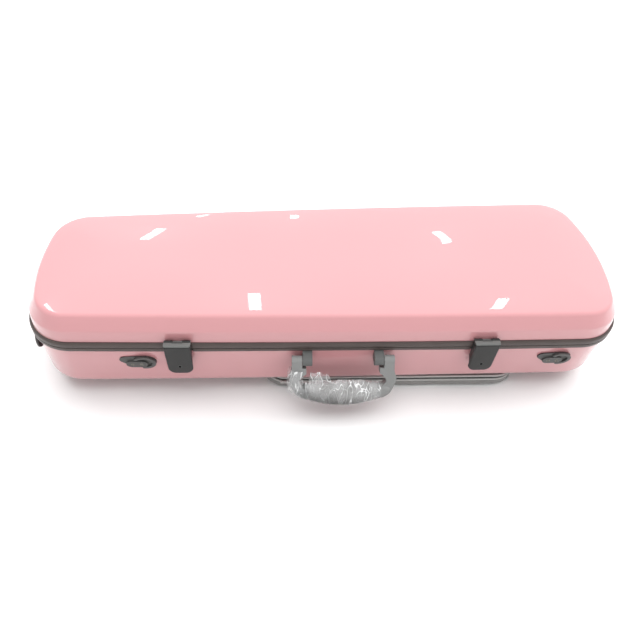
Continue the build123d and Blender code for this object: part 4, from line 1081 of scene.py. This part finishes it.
pocket_profile = [
    (60.0, 1.0), (20.0, 0.8), (4.0, 0.7), (0.2, 1.3), (-2.0, 3.2), (-2.6, 6.0), (-1.6, 8.8), (1.6, 11.0),
    (3.4, 14.0), (3.4, 18.4), (4.6, 20.6), (12.0, 21.4), (60.0, 21.4),
]
bag = pocket_wall(POCKET_KNEE).carry(pocket_profile[:1])
bottom = list(bag.ring)
bag.carry(pocket_profile[1:]).close().close(bottom)
pocket_skin = even_skin(bag.outwards(), "pocket_source", pocket_cloth, "base", POCKET_VOXEL, 2, MM)
for vertex in pocket_skin.verts:
    x, y, z = vertex.co
    fold = noise.noise(Vector((x * 26.0, y * 26.0, z * 60.0)))
    vertex.co += vertex.normal * (fold * 0.7 - 0.4) * MM
pocket_bag = piece(pocket_skin, "pocket_bag", pocket_cloth, "base", ["pocket_body"], 1.0, 180)
swollen(pocket_bag, PRESSURE, SWELL_CAP)
for vertex in pocket_bag.data.vertices:
    vertex.co.z = min(max(vertex.co.z, 0.0), (BASE_Z - 0.2) * MM)
weave_map(pocket_bag)

cord_turns = [math.tau * step / 14 for step in range(15)]
for name, height in (("lower", 12.2), ("upper", 20.1)):
    cord = [(PIPING + PIPING * cos(turn), height + PIPING * sin(turn)) for turn in cord_turns]
    rope = pocket_wall().carry(cord).merged()
    piece(rope.outwards(), f"piping_{name}_cord", piping_vinyl, "base", [f"piping_{name}"], angle=80)

# Zip: two staggered rows of teeth along the front and the sides of the pocket, on their tape

TOOTH_STEP = 1.25
TOOTH_INSET = 1.95
TOOTH_STAGGER = 0.28
TOOTH_SIZE = (0.62, 0.78, 1.05, 1)


def along(arcs, step, inset):
    """Evenly spaced places on an outline of arcs and straight runs, as (place, outward)."""
    spots = []
    carried = 0.0
    for (centre, start, turn, _), following in zip(arcs, arcs[1:] + arcs[:1]):
        radius = (start - centre).length
        while carried < radius * turn:
            out = (start - centre).normalized()
            out.rotate(Matrix.Rotation(carried / radius, 2))
            spots.append((centre + out * (radius - inset), out))
            carried += step
        carried -= radius * turn
        end = start - centre
        end.rotate(Matrix.Rotation(turn, 2))
        end += centre
        run = following[1] - end
        out = Vector((run.y, -run.x)).normalized()
        while carried < run.length:
            spots.append((end + run.normalized() * carried - out * inset, out))
            carried += step
        carried -= run.length
    return spots


zip_back = pocket_middle.y + POCKET_WIDTH / 2 - POCKET_RADIUS
teeth = bmesh.new()
zip_places = [spot for spot in along(pocket_arcs, TOOTH_STEP, TOOTH_INSET) if spot[0].y < zip_back]
for index, (place, out) in enumerate(zip_places):
    row = 1 if index % 2 else -1
    turn = Matrix.Rotation(math.atan2(out.y, out.x) + math.pi / 2, 4, "Z")
    seat = Matrix.Translation((place.x, place.y, ZIP_Z + row * TOOTH_STAGGER)) @ turn
    bmesh.ops.create_cube(teeth, size=1.0, matrix=seat @ Matrix.Diagonal(TOOTH_SIZE))
bevelled(teeth, teeth.edges[:], 0.12, 1)
piece(teeth, "zip_coil_teeth", zip_coil, "base", ["zip_teeth"], angle=30)
weave_map(softened("zip_tape", zip_cloth, 0.15, angle=30.0, name="zip_tape_cloth"))

# Handle grip, between the moulded ends of the frame

HANDLE = Vector((12.5, -FRONT_LINE - 7.0, 84.0))
LEAN = math.radians(29.0)
OUTER = Vector((0, -cos(LEAN), sin(LEAN)))
DOWN = Vector((0, -sin(LEAN), -cos(LEAN)))
ALONG = Vector((1, 0, 0))
GRIP_HALF = 51.6
GRIP_TOP, TOP_RISE = 33.2, -2.4
GRIP_FOOT, FOOT_SAG = 53.0, 11.0
GRIP_THICK, BELLY = 15.0, 7.0
GRIP_END = (
    (51.6, 0.86), (51.4, 0.94), (50.8, 0.99), (50.0, 1.0), (46.8, 1.0), (46.2, 0.97), (45.6, 0.955),
    (45.0, 0.97), (44.4, 1.0),
)
COLLAR_LINE = (
    (45.0, 34.0, 54.4), (46.0, 32.4, 56.0), (50.0, 32.4, 55.0), (54.0, 32.6, 52.8), (58.0, 33.6, 49.4),
    (61.5, 35.5, 45.5), (62.5, 37.0, 43.0),
)
COLLAR_HALF = 8.2


def in_handle(p, q, out=0.0):
    """A place by its distances along the handle, from its pins and off its plane."""
    return HANDLE + ALONG * p + DOWN * q + OUTER * out


def grip_section(p, grow=0.0, scale=1.0):
    """Section of the grip's belly at a place along it, grown by an allowance."""
    fullness = 1 - (p / GRIP_HALF) ** 2
    top = GRIP_TOP + TOP_RISE * fullness
    foot = GRIP_FOOT + FOOT_SAG * fullness
    thick = GRIP_THICK + BELLY * fullness
    return (
        in_handle(p, (top + foot) / 2),
        OUTER * (thick / 2 * scale + grow),
        DOWN * ((foot - top) / 2 * scale + grow),
    )


stations = [(-p, scale) for p, scale in GRIP_END]
stations += [(p, 1.0) for p in range(-42, 43, 3)]
stations += reversed(GRIP_END)
grip_body = Tube(40).carry([grip_section(p, 0.0, scale) for p, scale in stations]).capped()
piece(grip_body.outwards(), "grip_body", grip, "handle", ["handle_grip"], angle=50)

# The left collar takes the darker lug grey while the right keeps the handle grey: painted shade on one
# end of the same moulding.
for side, mirror, finish in (("left", -1, lug_plastic), ("right", 1, handle_plastic)):
    sections = [
        (in_handle(mirror * p, (top + foot) / 2), OUTER * COLLAR_HALF, DOWN * ((foot - top) / 2))
        for p, top, foot in COLLAR_LINE
    ]
    collar = Tube(36).carry(sections).capped()
    piece(collar.outwards(), f"grip_collar_{side}", finish, "handle", angle=50)

# The clear wrap that is still on the grip and the left arm, with three loose ends


def crumple(place, seed):
    """Folded height of creased film at a place in millimetres, 0 at a fold's foot and 1 at its ridge."""
    p = place * 0.085 + Vector((seed, seed * 0.7, seed * 0.3))
    bend = Vector((noise.noise(p * 0.8), noise.noise(p * 0.8 + Vector((9, 4, 2))), 0.0))
    sharp = 1.0 - abs(noise.noise(p * 1.5 + bend * 1.4)) * 2.2
    fine = 1.0 - abs(noise.noise(p * 3.6 + bend * 2.2)) * 2.2
    return max(0.0, sharp) * 0.7 + max(0.0, fine) * 0.3


def creased(bm, depth, seed):
    """Lift a skin into sharp little folds of a depth in millimetres."""
    bm.normal_update()
    moves = [(v, v.normal * (depth * crumple(v.co, seed))) for v in bm.verts]
    for vertex, move in moves:
        vertex.co += move
    return bm


WRAP_GAP = 0.45
wrap_skin = Tube(84).carry([grip_section(p, WRAP_GAP) for p in range(-50, 51)])
piece(creased(wrap_skin.outwards(), 1.5, 3.0), "grip_wrap", film, "handle", ["grip_film"], angle=28)

ARM_LINE = [
    Vector(place) for place in (
        (-60.4, 12.0), (-61.5, 18.0), (-62.6, 24.0), (-62.8, 30.0), (-61.4, 36.0), (-58.4, 41.0),
        (-54.2, 44.2), (-50.5, 44.6),
    )
]
SLEEVE_HALF_WIDTH = 9.4
SLEEVE_HALF_DEPTH = 8.4
sleeve_sections = []
for index, (p, q) in enumerate(ARM_LINE):
    run = (ARM_LINE[min(len(ARM_LINE) - 1, index + 1)] - ARM_LINE[max(0, index - 1)]).normalized()
    wide = (ALONG * run.y - DOWN * run.x) * (SLEEVE_HALF_WIDTH + 0.5 * sin(index * 2.1))
    sleeve_sections.append((in_handle(p, q, 0.3), wide, OUTER * SLEEVE_HALF_DEPTH))
sleeve = Tube(56).carry(sleeve_sections)
lengthways = [
    e for e in sleeve.bm.edges if abs(e.verts[0][sleeve.home].dot(e.verts[1][sleeve.home]) - 1) < 1e-4
]
bmesh.ops.subdivide_edges(sleeve.bm, edges=lengthways, cuts=4, use_grid_fill=True, smooth=1.0)
piece(creased(sleeve.outwards(), 1.8, 7.0), "arm_wrap", film, "handle", angle=28)


def film_flap(name, corners, seed, depth):
    """A loose end of the wrap: a sheet between four corners, crumpled."""
    bm = bmesh.new()
    bmesh.ops.create_grid(bm, x_segments=22, y_segments=16, size=1.0)
    a, b, c, d = (in_handle(*corner) for corner in corners)
    for vertex in bm.verts:
        u, v = vertex.co.x / 2 + 0.5, vertex.co.y / 2 + 0.5
        ragged = 1.0 + 0.22 * noise.noise(Vector((u * 3.1, seed, 0.0)))
        v *= ragged
        vertex.co = (a * (1 - u) + b * u) * (1 - v) + (d * (1 - u) + c * u) * v
        vertex.co += OUTER * (2.2 * sin(v * 2.4) * sin(u * math.pi))
    piece(creased(bm, depth, seed), name, film, "handle", angle=28)


film_flap("wrap_flap_inner", ((-46, 38, 3), (-14, 33, 4), (-20, 19, 0), (-42, 16, 1)), 2.0, 2.4)
film_flap("wrap_flap_outer", ((-66, 26, 2), (-57, 46, 3), (-66, 50, -1), (-74, 33, -2)), 5.0, 2.0)
film_flap("wrap_flap_middle", ((-12, 33, 4), (34, 34, 4), (28, 28, 1), (-6, 27, 1)), 8.0, 1.6)

# Camera, fitted to the outline of the case in the photo

IMAGE_PX = 640.0
FOCAL_PX = 589.32
SENSOR = 36.0
CAMERA_PLACE = Vector((-72.24, -597.26, 690.17)) * MM
YAW, PITCH, ROLL = 0.10766, 0.84467, -0.076757
camera_data = bpy.data.cameras.new("camera")
camera_data.sensor_width = SENSOR
camera_data.lens = FOCAL_PX * SENSOR / IMAGE_PX
camera_data.clip_start = 0.01
camera_data.clip_end = 50.0
camera = linked("camera", camera_data)
forward = Vector((sin(YAW) * cos(PITCH), cos(YAW) * cos(PITCH), -sin(PITCH)))
level = Vector((cos(YAW), -sin(YAW), 0.0))
below = forward.cross(level)
right = cos(ROLL) * level + sin(ROLL) * below
down = cos(ROLL) * below - sin(ROLL) * level
facing = Matrix((right, -down, -forward)).transposed().to_4x4()
camera.matrix_world = Matrix.Translation(CAMERA_PLACE) @ facing
scene.camera = camera

# Small lamps, as (place, size in metres, turn in degrees): the lid mirrors them as its highlights

GLINT = 14.0
GLINT_AIM = Vector((0.0, 0.0, 0.14))
GLINTS = (
    ((-0.161, 0.581, 1.488), (0.047, 0.270), -13.0),
    ((0.756, 0.500, 1.412), (0.042, 0.175), 40.0),
    ((-0.553, 1.277, 0.931), (0.040, 0.225), -27.0),
    ((-0.377, 1.496, 0.621), (0.022, 0.085), -30.0),
    ((0.563, 1.168, 1.049), (0.036, 0.143), 36.0),
    ((-1.072, 0.416, 1.355), (0.060, 0.480), -31.0),
    ((-0.018, 1.468, 0.717), (0.034, 0.075), 0.0),
)
for number, (place, size, turned) in enumerate(GLINTS):
    data = bpy.data.lights.new(f"ceiling_lamp_{number}", "AREA")
    data.shape = "RECTANGLE"
    data.size, data.size_y = size
    data.energy = GLINT * size[0] * size[1] * math.pi
    lamp = linked(f"ceiling_lamp_{number}", data)
    lamp.location = place
    aim = (GLINT_AIM - Vector(place)).to_track_quat("-Z", "Y")
    lamp.rotation_euler = (aim @ Quaternion((0, 0, 1), math.radians(turned))).to_euler()

# The studio: a bright cove behind and above, a lower window in front, dimmer walls between.
# The camera sees it white, and so do glossy and transmission rays.

COVE = 3.2
COVE_RISE = (0.22, 0.58)
COVE_BACK = (-0.20, 0.12)
COVE_MIDDLE = 0.17
COVE_ENDS = (0.32, 0.60)
OVERHEAD = 3.3
OVERHEAD_RISE = (0.82, 0.96)
WINDOW = 0.74
WINDOW_FOOT = (-0.02, 0.04)
WINDOW_TOP = (0.66, 0.84)
WINDOW_FRONT = (0.05, 0.50)
ROOM = 0.14
SIDE = 0.25
SIDE_REACH = (-0.3, 0.9)
world = bpy.data.worlds.new("studio")
scene.world = world
world.use_nodes = True
background = world.node_tree.nodes["Background"]
background.inputs["Color"].default_value = (1.0, 1.0, 1.0, 1.0)
sky = NodeTree(world.node_tree)
direction = sky.node("ShaderNodeTexCoord", output="Generated")
east, north, height = (sky.axis(i, direction) for i in range(3))
across = east - COVE_MIDDLE
ends = sky.ramp(across * across, *COVE_ENDS)
cove = sky.ramp(height, *COVE_RISE) * sky.ramp(north, *COVE_BACK) * (1.0 - ends)
above = sky.ramp(height, *OVERHEAD_RISE) * (1.0 - cove)
window = sky.ramp(height, *WINDOW_FOOT) * (1.0 - sky.ramp(height, *WINDOW_TOP))
window = window * sky.ramp(0.0 - north, *WINDOW_FRONT)
side_light = sky.ramp(east, *SIDE_REACH) * SIDE
studio = cove * (COVE - ROOM) + above * (OVERHEAD - ROOM) + window * (WINDOW - ROOM) + side_light + ROOM
seen = sky.seen_by("Camera", "Glossy", "Transmission")
sky.join(seen + (1.0 - seen) * studio, background.inputs["Strength"])

# Floor: white to the same rays, and grey paper to the light that it sends back onto the case

FLOOR_HALF = 12.0
FLOOR_GREY = grey(0.66)
FLOOR_WHITE = grey(0.90)
FLOOR_GLOW = 0.02
floor_bm = bmesh.new()
bmesh.ops.create_grid(floor_bm, x_segments=2, y_segments=2, size=FLOOR_HALF)
floor_mesh = bpy.data.meshes.new("floor")
floor_bm.to_mesh(floor_mesh)
floor_bm.free()
floor = linked("floor", floor_mesh)
paper = Finish("stage", "floor_paper", Roughness=0.9)
white = paper.seen_by("Camera", "Glossy", "Transmission")
paper.feed("Base Color", paper.tint(white, FLOOR_GREY, FLOOR_WHITE))
paper.feed("Emission Color", (1.0, 1.0, 1.0, 1.0))
paper.feed("Emission Strength", white * FLOOR_GLOW)
floor_mesh.materials.append(paper.material)

scene.view_settings.view_transform = "Standard"
